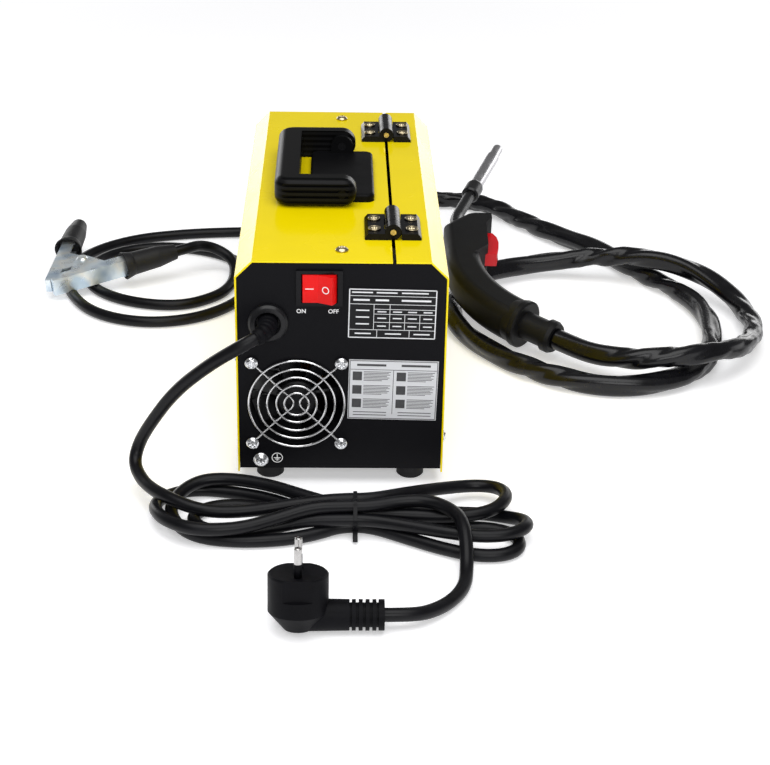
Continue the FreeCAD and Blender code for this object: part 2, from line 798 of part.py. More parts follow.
def hinge_screws(side):
    """Four flatter screws that hold the leaves of one side."""
    top = cover_z + s.hinge_leaf
    length = s.hinge_leaf + s.steel + 3
    return [
        screw("hinge_screw_%d_%d" % (side + 1, i), "+Z", (x, y, top), length, s.pan_head, s.pan_height / 2)
        for i, (x, y) in enumerate(hinge_screw_places(side))
    ]


def pivot_pins():
    """Pins of the two door hinges and of the carrying handle."""
    pins = []
    for i, centre in enumerate(hinge_centres):
        start = (door_split_x, centre - s.hinge_size / 2 - 0.6, hinge_z)
        pins.append(rod("hinge_pin_%d" % i, "Y", start, s.hinge_pin, s.hinge_size + 1.2))
    length = s.bail_arm + s.side_play + 4
    for i, y in enumerate((bail_y0 + 2, bail_y1 - 2 - length)):
        pins.append(rod("handle_pin_%d" % i, "Y", (0, y, bail_z), s.handle_pin, length))
    return node("pivot_pins", group("pivot_pins", pins))


# ------------------------------------------------------------------ carrying handle
def handle_base():
    """Base plate with a lug at each end for the pins."""
    half = s.handle_plate_width / 2
    top = cover_z + s.handle_plate
    body = new_body("handle_base")
    plate = sketch_on(body, "XY_Plane", "base_plate", cover_z)
    window(plate, (-half, half), (plate_y0, plate_y1))
    pad(body, plate, s.handle_plate)
    round_edges(body, s.handle_plate, lambda middle, along: abs(along.z) > 0.9)
    round_edges(body, s.handle_plate * 0.35, lambda middle, along: middle.z > float(top) - 0.01)
    for number, (y0, y1) in enumerate(((plate_y0, plate_y0 + 6), (plate_y1 - 6, plate_y1))):
        post = sketch_on(body, "XZ_Plane", "base_post_%d" % number, -y1)
        window(post, (-s.bail_eye * 0.8, s.bail_eye * 0.8), (top - 1, bail_z))
        pad(body, post, y1 - y0)
        eye = sketch_on(body, "XZ_Plane", "base_eye_%d" % number, -y1)
        circle(eye, 0, bail_z, s.bail_eye * 0.8)
        pad(body, eye, y1 - y0)
    hole = sketch_on(body, "XZ_Plane", "base_pin_hole")
    circle(hole, 0, bail_z, s.handle_pin + s.pivot_play)
    pocket(body, hole)
    return node("handle_base", body)


def handle_bail():
    """Folding bail: two grooved arms and a grip, lying to the left at rest."""
    body = new_body("handle_bail")
    side = sketch_on(body, "XZ_Plane", "bail_side", -bail_y1)
    window(side, (-s.bail_reach, 0), (bail_z - s.bail_eye, bail_z + s.bail_eye))
    pad(body, side, s.bail_length)
    eye = sketch_on(body, "XZ_Plane", "bail_eye", -bail_y1)
    circle(eye, 0, bail_z, s.bail_eye)
    pad(body, eye, s.bail_length)
    left = -float(s.bail_reach) + 0.01
    round_edges(body, s.bail_corner, lambda middle, along: middle.x < left and abs(along.z) > 0.9)
    round_edges(body, s.bail_eye * 0.6, lambda middle, along: middle.x < left and abs(along.y) > 0.9)
    opening = sketch_on(body, "XY_Plane", "bail_opening", bail_z - s.bail_eye - 1)
    window(opening, (-s.bail_reach + s.bail_grip, s.bail_eye + 1), (bail_y0 + s.bail_arm, bail_y1 - s.bail_arm))
    pocket(body, opening, s.bail_eye * 2 + 2, reverse=True)
    for name, y, reverse in (("near", bail_y0, False), ("far", bail_y1, True)):
        groove = sketch_on(body, "XZ_Plane", "bail_groove_" + name, -y)
        low = bail_z - s.groove_pitch * 1.5 - s.groove_width / 2
        window(groove, (-s.bail_reach - 1, s.bail_eye * 0.45), (low, low + s.groove_width))
        first = pocket(body, groove, s.groove_depth, reverse=reverse)
        row_of(body, first, groove, "V_Axis", s.groove_pitch, 4)
    hole = sketch_on(body, "XZ_Plane", "bail_pin_hole")
    circle(hole, 0, bail_z, s.handle_pin + s.pivot_play)
    pocket(body, hole)
    for name, y, reverse in (("near", bail_y0, True), ("far", bail_y1, False)):
        cap = sketch_on(body, "XZ_Plane", "bail_cap_" + name, -y)
        circle(cap, 0, bail_z, s.handle_pin + s.pivot_play)
        pad(body, cap, s.bail_cap, reverse=reverse)
    return node("handle_bail", body)


# ------------------------------------------------------------------ power switch
ROCKER_TILT = 13.0
rocker_y = -half_depth + 1.5
rocker_face = s.bezel_thick + 1.5 + 0.6
rocker_room = s.rocker_radius + s.side_play
rocker_shaft = 1.6
axle_length = s.rocker_height + s.side_play * 2 + 0.8


def rocker_housing():
    """Switch body with its frame on the panel and the well that the rocker swings in."""
    half = s.bezel_width / 2
    tall = s.bezel_height / 2
    front = -half_depth - s.bezel_thick
    frame = box("rocker_frame", (rocker_x - half, rocker_x + half), (front, -half_depth),
                (rocker_z - tall, rocker_z + tall))
    back = box("rocker_back", (rocker_x - half + 1.6, rocker_x + half - 1.6),
               (-half_depth - 0.5, -half_depth + 20), (rocker_z - tall + 1.6, rocker_z + tall - 1.6))
    well_tall = s.rocker_height / 2 + s.side_play
    well = box("rocker_well", (rocker_x - rocker_room, rocker_x + rocker_room), (front - 1, -half_depth + 12),
               (rocker_z - well_tall, rocker_z + well_tall))
    length = axle_length + 0.3
    bearing = rod("rocker_bearing", "Z", (rocker_x, rocker_y, rocker_z - length / 2),
                  rocker_shaft + s.pivot_play, length)
    block = fuse("rocker_block", frame, back)
    return node("rocker_housing", cut("rocker_housing", block, well, bearing))


def rocker_button():
    """Rocker with its two sloping half faces, at rest with the left half pressed in."""
    end = s.rocker_radius + 1
    rise = math.tan(math.radians(ROCKER_TILT))
    wedge = new_body("rocker_wedge")
    plan = sketch_on(wedge, "XY_Plane", "rocker_plan", -s.rocker_height / 2)
    outline(plan, [
        (-end, -rocker_face - end * rise), (0, -rocker_face), (end, -rocker_face - end * rise), (end, 3.5), (-end, 3.5),
    ])
    pad(wedge, plan, s.rocker_height)
    place(wedge, rocker_x, rocker_y, rocker_z, FreeCAD.Rotation(V(0, 0, 1), -ROCKER_TILT))
    swing = rod("rocker_swing", "Z", (rocker_x, rocker_y, rocker_z - s.rocker_height / 2),
                s.rocker_radius, s.rocker_height)
    axle = rod("rocker_axle", "Z", (rocker_x, rocker_y, rocker_z - axle_length / 2), rocker_shaft, axle_length)
    return node("rocker_button", fuse("rocker_button", common("rocker_body", wedge, swing), axle))


# ------------------------------------------------------------------ rear panel fittings
def cable_gland():
    """Gland of the mains lead; the lead stands on the floor of its mouth."""
    thick = s.gland_thick
    outer = s.gland_radius
    return node("cable_gland", turned("cable_gland", [
        (0, thick), (s.gland_mouth, thick), (s.gland_mouth, 1), (s.gland_mouth + 1, 0), (outer - 1.5, 0),
        (outer, 1.5), (outer, thick), (gland_neck, thick), (gland_neck, thick + 9), (0, thick + 9),
    ], "Y", (gland_x, -half_depth - thick, s.gland_z)))


GUARD_STEPS = (0, 6.5, 12.6, 19.0, 24.5)


def fan_guard():
    """Finger guard: five wire rings welded on two bent wires that end in eyes under the screws."""
    wire = float(s.guard_wire)
    x, z = float(fan_x), float(s.fan_z)
    face = -float(half_depth)
    stay_y = face - wire
    ring_y = stay_y - wire * 1.8
    reach = float(fan_pitch) / 2
    outer = float(fan_bore)
    pieces = [Part.makeTorus(outer - step, wire, V(x, ring_y, z), V(0, 1, 0)) for step in GUARD_STEPS]
    eye = float(s.screw_shank) + wire + 0.3
    for side in (-1, 1):
        run = reach - eye * 0.72
        ends = [V(x + side * run, stay_y, z + end * run) for end in (1, -1)]
        tip = V(x + side * 1.6, stay_y, z)
        path = Part.Wire([Part.LineSegment(ends[0], tip).toShape(), Part.LineSegment(tip, ends[1]).toShape()])
        section = Part.Wire([Part.makeCircle(wire, ends[0], tip - ends[0])])
        pieces.append(path.makePipeShell([section], True, False, 2))
        for end in (1, -1):
            pieces.append(Part.makeTorus(eye, wire, V(x + side * reach, stay_y, z + end * reach), V(0, 1, 0)))
    return node("fan_guard", made("fan_guard", pieces[0].fuse(pieces[1:])))


def fan_frame():
    """Square fan frame with its duct, corner holes and the spider that carries the motor."""
    half = fan_frame_size / 2
    body = new_body("fan_frame")
    square = sketch_on(body, "XZ_Plane", "frame_square", inner_y - s.fan_depth)
    window(square, (fan_x - half, fan_x + half), (s.fan_z - half, s.fan_z + half))
    pad(body, square, s.fan_depth)
    round_edges(body, 4, lambda middle, along: abs(along.y) > 0.9)
    duct = sketch_on(body, "XZ_Plane", "frame_duct")
    circle(duct, fan_x, s.fan_z, fan_bore)
    for x, z in fan_screws:
        circle(duct, x, z, screw_hole)
    pocket(body, duct)
    reach = fan_bore + 0.5
    for number, (across, up) in enumerate(((reach, 2.5), (2.5, reach))):
        strut = sketch_on(body, "XZ_Plane", "frame_strut_%d" % number, inner_y - s.fan_depth)
        window(strut, (fan_x - across, fan_x + across), (s.fan_z - up, s.fan_z + up))
        pad(body, strut, 2.5)
    seat = sketch_on(body, "XZ_Plane", "frame_motor_seat", inner_y - s.fan_depth)
    circle(seat, fan_x, s.fan_z, s.fan_hub)
    pad(body, seat, 2.5)
    return node("fan_frame", body)


def fan_rotor():
    """Hub with seven twisted blades; its own Z axis is the fan axis and it faces the grille."""
    body = new_body("fan_rotor")
    length = s.fan_depth - 2.5 - s.side_play * 2 - 1
    hub = spin(body, [
        (0, 0), (s.fan_hub, 0), (s.fan_hub, length - 1.5), (s.fan_hub - 1.5, length), (0, length),
    ], "rotor_hub")
    doc.recompute()
    loft = body.newObject("PartDesign::AdditiveLoft", "rotor_blade")
    sections = []
    for name, reach, chord, thick, pitch in (
            ("blade_root", s.fan_hub - 1, 7.6, 0.9, 52), ("blade_tip", fan_bore - s.fan_tip_gap, 9.0, 0.6, 28)):
        section = sketch_on(body, "YZ_Plane", name, reach)
        across = (chord * math.cos(math.radians(pitch)), chord * math.sin(math.radians(pitch)))
        over = (-thick * math.sin(math.radians(pitch)), thick * math.cos(math.radians(pitch)))
        middle = length / 2
        outline(section, [
            (Size(a * across[0] + b * over[0]), middle + (a * across[1] + b * over[1]))
            for a, b in ((-1, -1), (1, -1), (1, 1), (-1, 1))
        ])
        sections.append(section)
    loft.Profile = sections[0]
    loft.Sections = sections[1:]
    body.Tip = loft
    doc.recompute()
    blades = body.newObject("PartDesign::PolarPattern", "rotor_blades")
    blades.Originals = [loft]
    blades.Axis = (hub.Profile[0], ["V_Axis"])
    blades.Angle = 360
    blades.Occurrences = 7
    body.Tip = blades
    place(body, fan_x, -inner_y + s.fan_depth - 2.5 - s.side_play, s.fan_z, OUTWARD["-Y"])
    return node("fan_rotor", body)


def case_screws():
    """Screws of the fan, the cover and its hinge leaves, and the earth screw with its washer."""
    screws = []
    seat = -half_depth - s.guard_wire * 2
    for i, (x, z) in enumerate(fan_screws):
        length = s.guard_wire * 2 + s.panel_steel + s.fan_depth + 2
        screws.append(screw("fan_screw_%d" % i, "-Y", (x, seat, z), length))
    for i, y in enumerate((-top_screw_y, top_screw_y)):
        screws.append(screw("top_screw_%d" % i, "+Z", (0, y, cover_z), 8))
    for i, y in enumerate((-side_screw_y, side_screw_y)):
        screws.append(screw("side_screw_%d" % i, "-X", (-cover_x, y, side_screw_z), 5))
        screws.append(screw("low_screw_%d" % i, "+X", (cover_x, y, low_screw_z), 8))
    screws += hinge_screws(-1)
    washer = s.pan_head + 0.7
    screws.append(turned("earth_screw", [
        (0, 0), (s.pan_head * 0.3, 0), (s.pan_head * 0.8, 0.5), (s.pan_head, 1.8), (s.pan_head, 2.9),
        (washer, 2.9), (washer, 4.0), (s.screw_shank, 4.0), (s.screw_shank, 14), (0, 14),
    ], "Y", (earth_x, -half_depth - 4.0, s.earth_z)))
    return node("case_screws", group("case_screws", screws))


def rear_plates():
    """Rating plate and notice plate, stuck on a little askew."""
    plates = []
    for name, length, height, side, down, askew in (
            ("rating_plate", 60.3, 37.2, 6.1, 54.5, 1.0), ("notice_plate", 61.4, 45.2, 4.3, 115.7, 1.2)):
        plate = doc.addObject("Part::Box", name)
        bind(plate, "Length", Size(length))
        bind(plate, "Width", s.plate_thick)
        bind(plate, "Height", Size(height))
        plates.append(place(plate, half_width - side - length, -half_depth - s.plate_thick, roof_z - down,
                            FreeCAD.Rotation(V(0, 1, 0), askew)))
    return node("rear_plates", group("rear_plates", plates))


# ------------------------------------------------------------------ electronics
board_x = -half_width + s.steel * 2 + 2.6
BOARD_THICK = 1.6


def power_board():
    """Circuit board on edge along the left wall, with three capacitors lying off it."""
    face = board_x + BOARD_THICK
    pieces = [box("board", (board_x, face), (-half_depth + 34, half_depth - 44), (tray_top, tray_top + 134))]
    for i in range(3):
        pieces.append(rod("capacitor_%d" % i, "X", (face, half_depth - 60 - i * 31.0, tray_top + 112), 14, 38))
    return node("power_board", group("power_board", pieces))


def heat_sinks():
    """Two finned heat sinks on the board, in the fan's draught."""
    face = board_x + BOARD_THICK
    sinks = []
    for number, low in enumerate((tray_top + 8, tray_top + 64)):
        body = new_body("heat_sink_%d" % number)
        back = sketch_on(body, "XZ_Plane", "sink_back_%d" % number, half_depth * 0.28)
        window(back, (face, face + 5), (low, low + 48))
        pad(body, back, 76)
        fin = sketch_on(body, "XZ_Plane", "sink_fin_%d" % number, half_depth * 0.28)
        window(fin, (face + 4, face + 34), (low, low + 1.8))
        row_of(body, pad(body, fin, 76), fin, "V_Axis", Size(6.6), 8)
        sinks.append(body)
    return node("heat_sinks", group("heat_sinks", sinks))


def transformer():
    """Power transformer on the tray: a laminated frame with its winding."""
    xs = (board_x + 8, board_x + 52)
    body = new_body("transformer_core")
    side = sketch_on(body, "XZ_Plane", "core_side", s.handle_offset)
    window(side, xs, (tray_top, tray_top + 36))
    pad(body, side, 30)
    gaps = sketch_on(body, "XZ_Plane", "core_windows")
    window(gaps, (xs[0] + 7, xs[0] + 16), (tray_top + 7, tray_top + 29))
    window(gaps, (xs[1] - 16, xs[1] - 7), (tray_top + 7, tray_top + 29))
    pocket(body, gaps)
    turns = []
    for number, x in enumerate((xs[0] + 8, xs[1] - 15)):
        turns.append(box("winding_%d" % number, (x, x + 7), (s.handle_offset - 34, s.handle_offset + 8),
                         (tray_top + 7.3, tray_top + 28.7)))
    return [body] + turns


def transformer_and_choke():
    """Power transformer and the toroidal output choke, both standing on the tray."""
    ring = doc.addObject("Part::Torus", "choke_ring")
    ring.Radius1 = 17
    ring.Radius2 = 8
    place(ring, -half_width / 2, half_depth * 0.56, tray_top + 25.1, OUTWARD["+Y"])
    return node("transformer_and_choke", group("transformer_and_choke", transformer() + [ring]))


# ------------------------------------------------------------------ front panel fittings
def control_knobs():
    """Wire speed knob and voltage knob, each with its shaft."""
    for label, x in (("wire_speed_knob", -s.knob_x), ("voltage_knob", s.knob_x)):
        radius = s.knob_radius
        node(label, turned(label, [
            (0, -10), (knob_shaft, -10), (knob_shaft, 0.6), (radius, 0.6), (radius, 4), (radius * 0.82, 5.5),
            (radius * 0.76, s.knob_height - 1), (radius * 0.66, s.knob_height), (0, s.knob_height),
        ], "Y", (x, half_depth, s.knob_z)))


socket_lip = 4.5


def current_sockets():
    """Two panel sockets for the twist-in cable plugs."""
    radius = s.socket_radius
    sockets = []
    for number, x in enumerate(socket_places):
        sockets.append(turned("current_socket_%d" % number, [
            (0, -24), (socket_neck, -24), (socket_neck, 0), (radius, 0), (radius, 3), (radius - 1.5, socket_lip),
            (s.socket_bore, socket_lip), (s.socket_bore, -18), (0, -18),
        ], "Y", (x, half_depth, s.socket_z)))
    return node("current_sockets", group("current_sockets", sockets))


EARTH_PLUG = 58.0


def earth_plug():
    """Twist-in plug of the earth cable with its rubber sleeve."""
    pin = s.socket_bore - 0.1
    return node("earth_plug", turned("earth_plug", [
        (0, -21), (pin, -21), (pin, 0.3), (12.5, 0.3), (12.5, 28), (10.5, 34), (7.5, EARTH_PLUG), (0, EARTH_PLUG),
    ], "Y", (socket_x, half_depth + socket_lip, s.socket_z)))


OUTLET_BOOT = 48.0


def torch_outlet():
    """Guide tube from the rolls, panel bush and bend sleeve of the torch hose."""
    tube_back = half_depth - s.feed_y - 10
    return node("torch_outlet", turned("torch_outlet", [
        (0, -tube_back), (2.2, -tube_back), (2.2, -24), (outlet_neck, -24), (outlet_neck, 0), (15, 0), (15, 4),
        (13.5, 6), (13, 22), (s.hose_radius + 1.5, OUTLET_BOOT), (0, OUTLET_BOOT),
    ], "Y", (outlet_x, half_depth, s.outlet_z)))


# ------------------------------------------------------------------ wire spool
spool_left = divider_right + 3.4


def spool_hub():
    """Hub screwed to the inner wall: flange, journal and a threaded end for the nut."""
    journal = s.spool_bore - s.pivot_play
    shoulder = spool_width + 4.2
    return node("spool_hub", turned("spool_hub", [
        (0, 0), (16, 0), (16, 3), (journal, 3), (journal, shoulder), (5, shoulder), (5, shoulder + 10.5),
        (0, shoulder + 10.5),
    ], "X", (divider_right, s.spool_y, s.spool_z)))


def wire_spool():
    """Moulded spool with round windows in its flanges."""
    radius = s.spool_radius
    width = spool_width
    body = new_body("wire_spool")
    spin(body, [
        (s.spool_bore, 0), (radius, 0), (radius, 3), (25, 3), (25, width - 3), (radius, width - 3),
        (radius, width), (22, width), (22, 3.5), (11, 3.5), (11, width), (s.spool_bore, width),
    ], "spool_section")
    hole = sketch_on(body, "XY_Plane", "spool_window")
    circle(hole, radius * 0.68, 0, 6.5)
    first = pocket(body, hole)
    windows = body.newObject("PartDesign::PolarPattern", "spool_windows")
    windows.Originals = [first]
    windows.Axis = (hole, ["N_Axis"])
    windows.Angle = 360
    windows.Occurrences = 5
    body.Tip = windows
    place(body, spool_left, s.spool_y, s.spool_z, TURNS["X"])
    return node("wire_spool", body)


def welding_wire():
    """Wire wound on the spool."""
    return node("welding_wire", turned("welding_wire", [
        (25, 3), (s.wound_radius, 3), (s.wound_radius, spool_width - 3), (25, spool_width - 3),
    ], "X", (spool_left, s.spool_y, s.spool_z)))


def spool_nut():
    """Thumb nut that keeps the spool on its hub, with six finger hollows."""
    body = new_body("spool_nut")
    spin(body, [(5 + s.pivot_play, 0), (13, 0), (13, 8), (11.5, 9), (5 + s.pivot_play, 9)], "nut_section")
    hollow = sketch_on(body, "XY_Plane", "nut_hollow")
    circle(hollow, 15.5, 0, 4.5)
    first = pocket(body, hollow)
    hollows = body.newObject("PartDesign::PolarPattern", "nut_hollows")
    hollows.Originals = [first]
    hollows.Axis = (hollow, ["N_Axis"])
    hollows.Angle = 360
    hollows.Occurrences = 6
    body.Tip = hollows
    place(body, divider_right + spool_width + 4.5, s.spool_y, s.spool_z, TURNS["X"])
    return node("spool_nut", body)


# ------------------------------------------------------------------ wire feeder
feeder_face = divider_right + 6
arm_y = s.feed_y - s.arm_pivot_back
arm_z = press_z + 6
arm_left = feeder_face + 3
arm_right = arm_left + 10
arm_top = press_z + 11
screw_y = s.feed_y + s.screw_ahead
screw_z = feed_z - 8
roll_left = outlet_x - s.roll_width / 2
KNOB = 8.0
TENSION_STUD = 2.5


def feeder_frame():
    """Cast frame: side plate, inlet guide, pivot stud of the arm and cross pin of the tension screw."""
    plate = box("feeder_plate", (divider_right, feeder_face), (arm_y - 9, screw_y + 10), (screw_z - 10, arm_top + 2))
    shaft = rod("feeder_shaft_hole", "X", (divider_right - 1, s.feed_y, feed_z), s.roll_axle + s.pivot_play, 8)
    guide_stand = box("feeder_guide_stand", (feeder_face - 1, outlet_x + 4), (arm_y - 6, arm_y + 4),
                      (s.outlet_z - 5, s.outlet_z + 5))
    guide = rod("feeder_guide", "Y", (outlet_x, arm_y - 12, s.outlet_z), 2.2, 24)
    stud = rod("feeder_stud", "X", (feeder_face - 1, arm_y, arm_z), 3, arm_right - feeder_face + 1.4)
    collar = rod("feeder_collar", "X", (feeder_face - 1, arm_y, arm_z), 5, arm_left - s.side_play - feeder_face + 1)
    head = rod("feeder_stud_head", "X", (arm_right + s.side_play, arm_y, arm_z), 5, 1.6)
    cross = rod("feeder_cross_pin", "X", (feeder_face - 1, screw_y, screw_z), 3, arm_right - feeder_face + 1.4)
    stop = rod("feeder_cross_head", "X", (arm_right + s.side_play, screw_y, screw_z), 5, 1.6)
    whole = fuse("feeder_casting", plate, guide_stand, guide, stud, collar, head, cross, stop)
    return node("feeder_frame", cut("feeder_frame", whole, shaft))


def feed_motor():
    """Gearbox and motor behind the inner wall, with the boss that faces the drive shaft."""
    case = box("gearbox", (divider_x - 20, divider_x), (s.feed_y - 20, s.feed_y + 20), (feed_z - 20, feed_z + 20))
    can = rod("motor_can", "X", (divider_x - 58, s.feed_y, feed_z), 17, 39)
    boss = rod("gearbox_boss", "X", (divider_x - 1, s.feed_y, feed_z), s.roll_axle + 1, s.steel + 0.9)
    return node("feed_motor", fuse("feed_motor", case, can, boss))


def drive_roll():
    """Drive roll with its wire groove, on its shaft."""
    rim = s.drive_radius + 0.6
    start = roll_left - divider_right - s.side_play
    middle = start + s.roll_width / 2
    end = start + s.roll_width
    return node("drive_roll", turned("drive_roll", [
        (0, 0), (s.roll_axle, 0), (s.roll_axle, start), (rim, start), (rim, middle - 0.6), (s.drive_radius, middle),
        (rim, middle + 0.6), (rim, end), (5, end), (5, end + 2), (0, end + 2),
    ], "X", (divider_right + s.side_play, s.feed_y, feed_z)))


def pressure_arm():
    """Arm over the rolls: pivot eye, forked free end and the axle of the pressure roll."""
    body = new_body("pressure_arm")
    side = sketch_on(body, "YZ_Plane", "arm_side", arm_left)
    low = press_z - 2
    outline(side, [
        (arm_y - 7, arm_z - 4), (arm_y + 6, low), (s.feed_y + 8, low), (screw_y - 6, arm_top - 8),
        (screw_y + 4, arm_top - 8), (screw_y + 4, arm_top), (screw_y - KNOB - 1, arm_top), (s.feed_y, arm_top + 2),
        (arm_y - 4, arm_top),
        (arm_y - 7, arm_z + 3),
    ])
    pad(body, side, arm_right - arm_left)
    hole = sketch_on(body, "YZ_Plane", "arm_hole")
    circle(hole, arm_y, arm_z, 3 + s.pivot_play)
    pocket(body, hole)
    middle = (arm_left + arm_right) / 2
    fork = sketch_on(body, "XY_Plane", "arm_fork", arm_top - 12)
    window(fork, (middle - 2.9, middle + 2.9), (screw_y - 3.4, screw_y + 9))
    pocket(body, fork, 20, reverse=True)
    axle = sketch_on(body, "YZ_Plane", "arm_axle", arm_right - 1)
    circle(axle, s.feed_y, press_z, s.roll_axle)
    pad(body, axle, roll_left + s.roll_width + 1.5 - arm_right + 1)
    return node("pressure_arm", body)


def pressure_roll():
    """Plain pressure roll on the arm's axle."""
    bore = s.roll_axle + s.pivot_play
    width = s.roll_width
    return node("pressure_roll", turned("pressure_roll", [
        (bore, 0), (s.press_radius - 0.6, 0), (s.press_radius, 0.6), (s.press_radius, width - 0.6),
        (s.press_radius - 0.6, width), (bore, width),
    ], "X", (roll_left, s.feed_y, press_z)))


def tension_screw():
    """Swing bolt with its thumb knob, whose cone swings clear of the arm's fork as the arm lifts."""
    middle = (arm_left + arm_right) / 2
    eye = rod("tension_eye", "X", (middle - 4, screw_y, screw_z), 5.5, 8)
    stud = rod("tension_stud", "Z", (middle, screw_y, screw_z), TENSION_STUD, arm_top + 10 - screw_z)
    hole = rod("tension_hole", "X", (middle - 5, screw_y, screw_z), 3 + s.pivot_play, 10)
    knob = turned("tension_knob", [
        (0, 0), (TENSION_STUD, 0), (TENSION_STUD, 2.4), (KNOB, 9), (KNOB, 18), (6.5, 20), (0, 20),
    ], "Z", (middle, screw_y, arm_top + s.side_play))
    return node("tension_screw", cut("tension_screw", fuse("tension_bolt", eye, stud, knob), hole))


# ------------------------------------------------------------------ torch
TORCH_LEAN = 8.0
TORCH_AT = V(147.8, 59.8, 25.0)
torch_frame = FreeCAD.Placement(TORCH_AT, FreeCAD.Rotation(V(1, 0, 0), TORCH_LEAN))
TORCH_TURN = 48.2
torch_end = V(math.sin(math.radians(TORCH_TURN)), -math.cos(math.radians(TORCH_TURN)), 0)
torch_reach = s.torch_bend * math.sin(math.radians(TORCH_TURN))
torch_line = s.torch_bend * (1 - math.cos(math.radians(TORCH_TURN)))
head_frame = torch_frame.multiply(FreeCAD.Placement(V(-torch_line, torch_reach, 0), FreeCAD.Rotation()))
TRIGGER_PIVOT = (21.5, 40.5)
TRIGGER_OUTLINE = ((-4, 4), (7, 4), (10.4, -3.5), (11.4, -12.5), (10.6, -22.5), (8.6, -33), (-4, -33))
trigger_pin = 1.5


def along(frame, body, start, way):
    """Sets a turned piece on a line of the torch's frame or of its head's."""
    turn = FreeCAD.Rotation(V(0, 0, 1), V(*way))
    body.Placement = frame.multiply(FreeCAD.Placement(V(*start), turn))
    return body


def torch_handle():
    """Moulded grip: straight at the trigger, bending to its round end, with the trigger's pocket."""
    half = s.torch_grip_half
    sweep = math.radians(TORCH_TURN)
    top = 63.5
    body = new_body("torch_handle")
    side = sketch_on(body, "XY_Plane", "grip_side", -s.torch_grip_width / 2)
    left = s.torch_bend + half
    right = s.torch_bend - half
    corners = [
        (s.torch_bend - left * math.cos(sweep), -left * math.sin(sweep)),
        (s.torch_bend - right * math.cos(sweep), -right * math.sin(sweep)), (half, 0), (22, 8), (23, 47),
        (28.5, 55), (28.5, top), (2.5, top), (-7.5, 54), (-half, 46), (-half, 0),
    ]
    spots = [V(float(Size.of(x)), float(Size.of(y)), 0) for x, y in corners]
    count = len(spots)
    for i in range(count):
        start, stop = spots[i], spots[(i + 1) % count]
        if i in (1, count - 1):
            radius = float(right if i == 1 else left)
            half_way = math.radians(TORCH_TURN / 2)
            middle = V(float(s.torch_bend) - radius * math.cos(half_way), -radius * math.sin(half_way), 0)
            side.addGeometry(Part.Arc(start, middle, stop), False)
        else:
            side.addGeometry(Part.LineSegment(start, stop), False)
    pad(body, side, s.torch_grip_width)
    doc.recompute()
    flat = float(s.torch_grip_width) / 2
    tail = 5 - float(torch_reach)
    round_edges(body, 8, lambda middle, way: abs(abs(middle.z) - flat) < 0.01 and (
        middle.x < 12.5 or middle.y < 0) and abs(middle.y - top) > 0.1 and middle.y > tail)
    slot = sketch_on(body, "XY_Plane", "trigger_slot", -s.trigger_width / 2 - s.side_play)
    across, up = TRIGGER_PIVOT
    window(slot, (across - 9, across + 21), (up - 35, up + 5))
    pocket(body, slot, s.trigger_width + s.side_play * 2, reverse=True)
    pin = sketch_on(body, "XY_Plane", "trigger_pin", -s.trigger_width / 2 - s.side_play - 1)
    circle(pin, across, up, trigger_pin)
    pad(body, pin, s.trigger_width + s.side_play * 2 + 2)
    body.Placement = head_frame
    flange = turned("grip_end", [(0, -9), (17, -9), (20, 0), (20, 4), (18.5, 5), (0, 5)])
    return node("torch_handle", fuse("torch_handle", body, along(torch_frame, flange, (0, 0, 0), torch_end)))


def torch_trigger():
    """Sprung trigger, hinged at its upper end inside the grip."""
    body = new_body("torch_trigger")
    side = sketch_on(body, "XY_Plane", "trigger_side", -s.trigger_width / 2)
    across, up = TRIGGER_PIVOT
    outline(side, [(across + x, up + y) for x, y in TRIGGER_OUTLINE])
    pad(body, side, s.trigger_width)
    hole = sketch_on(body, "XY_Plane", "trigger_hole")
    circle(hole, across, up, trigger_pin + s.pivot_play)
    pocket(body, hole)
    body.Placement = head_frame
    return node("torch_trigger", body)


neck_start = (-2.0, 63.5, 0)
NECK_WAY = (0.323, 0.946, 0)
COLLAR_AT = (13.5, 125.5, 0)
neck_collar = 20.0
nozzle_from = neck_collar + 0.05
NOZZLE_MOUTH = 12.0


def swan_neck():
    """Bent neck tube with the insulating collar that carries the nozzle."""
    bend = (-2.0, 80.1, 0)
    path, _radii = round_path([neck_start, bend, COLLAR_AT])
    section = Part.Wire([Part.makeCircle(float(s.neck_radius), V(*neck_start), V(0, 1, 0))])
    neck = made("neck_tube", path.makePipeShell([section], True, False), head_frame)
    collar = turned("neck_collar", [
        (0, 0), (6.6, 0), (8, 1.6), (8, neck_collar - 3), (7, neck_collar), (0, neck_collar),
    ])
    along(head_frame, collar, COLLAR_AT, NECK_WAY)
    return node("swan_neck", fuse("swan_neck", neck, collar))


def gas_nozzle():
    """Nozzle with its stepped end and open mouth."""
    outer = s.nozzle_radius
    length = s.nozzle_length
    body = turned("gas_nozzle", [
        (0, 0), (outer, 0), (outer, length - 19), (outer - 1.2, length - 17), (outer - 1.2, length),
        (outer - 2.2, length), (outer - 2.2, length - NOZZLE_MOUTH), (0, length - NOZZLE_MOUTH),
    ])
    start = V(*COLLAR_AT) + V(*NECK_WAY) * nozzle_from
    return node("gas_nozzle", along(head_frame, body, tuple(start), NECK_WAY))


TORCH_TAIL = 35.0


def contact_tip():
    """Contact tip on the floor of the nozzle's mouth."""
    body = turned("contact_tip", [
        (0.6, 0), (2.6, 0), (2.6, 5), (1.8, 8), (1.8, 10), (0.6, 10),
    ])
    floor = nozzle_from + float(s.nozzle_length) - NOZZLE_MOUTH
    start = V(*COLLAR_AT) + V(*NECK_WAY) * (floor + 0.05)
    return node("contact_tip", along(head_frame, body, tuple(start), NECK_WAY))


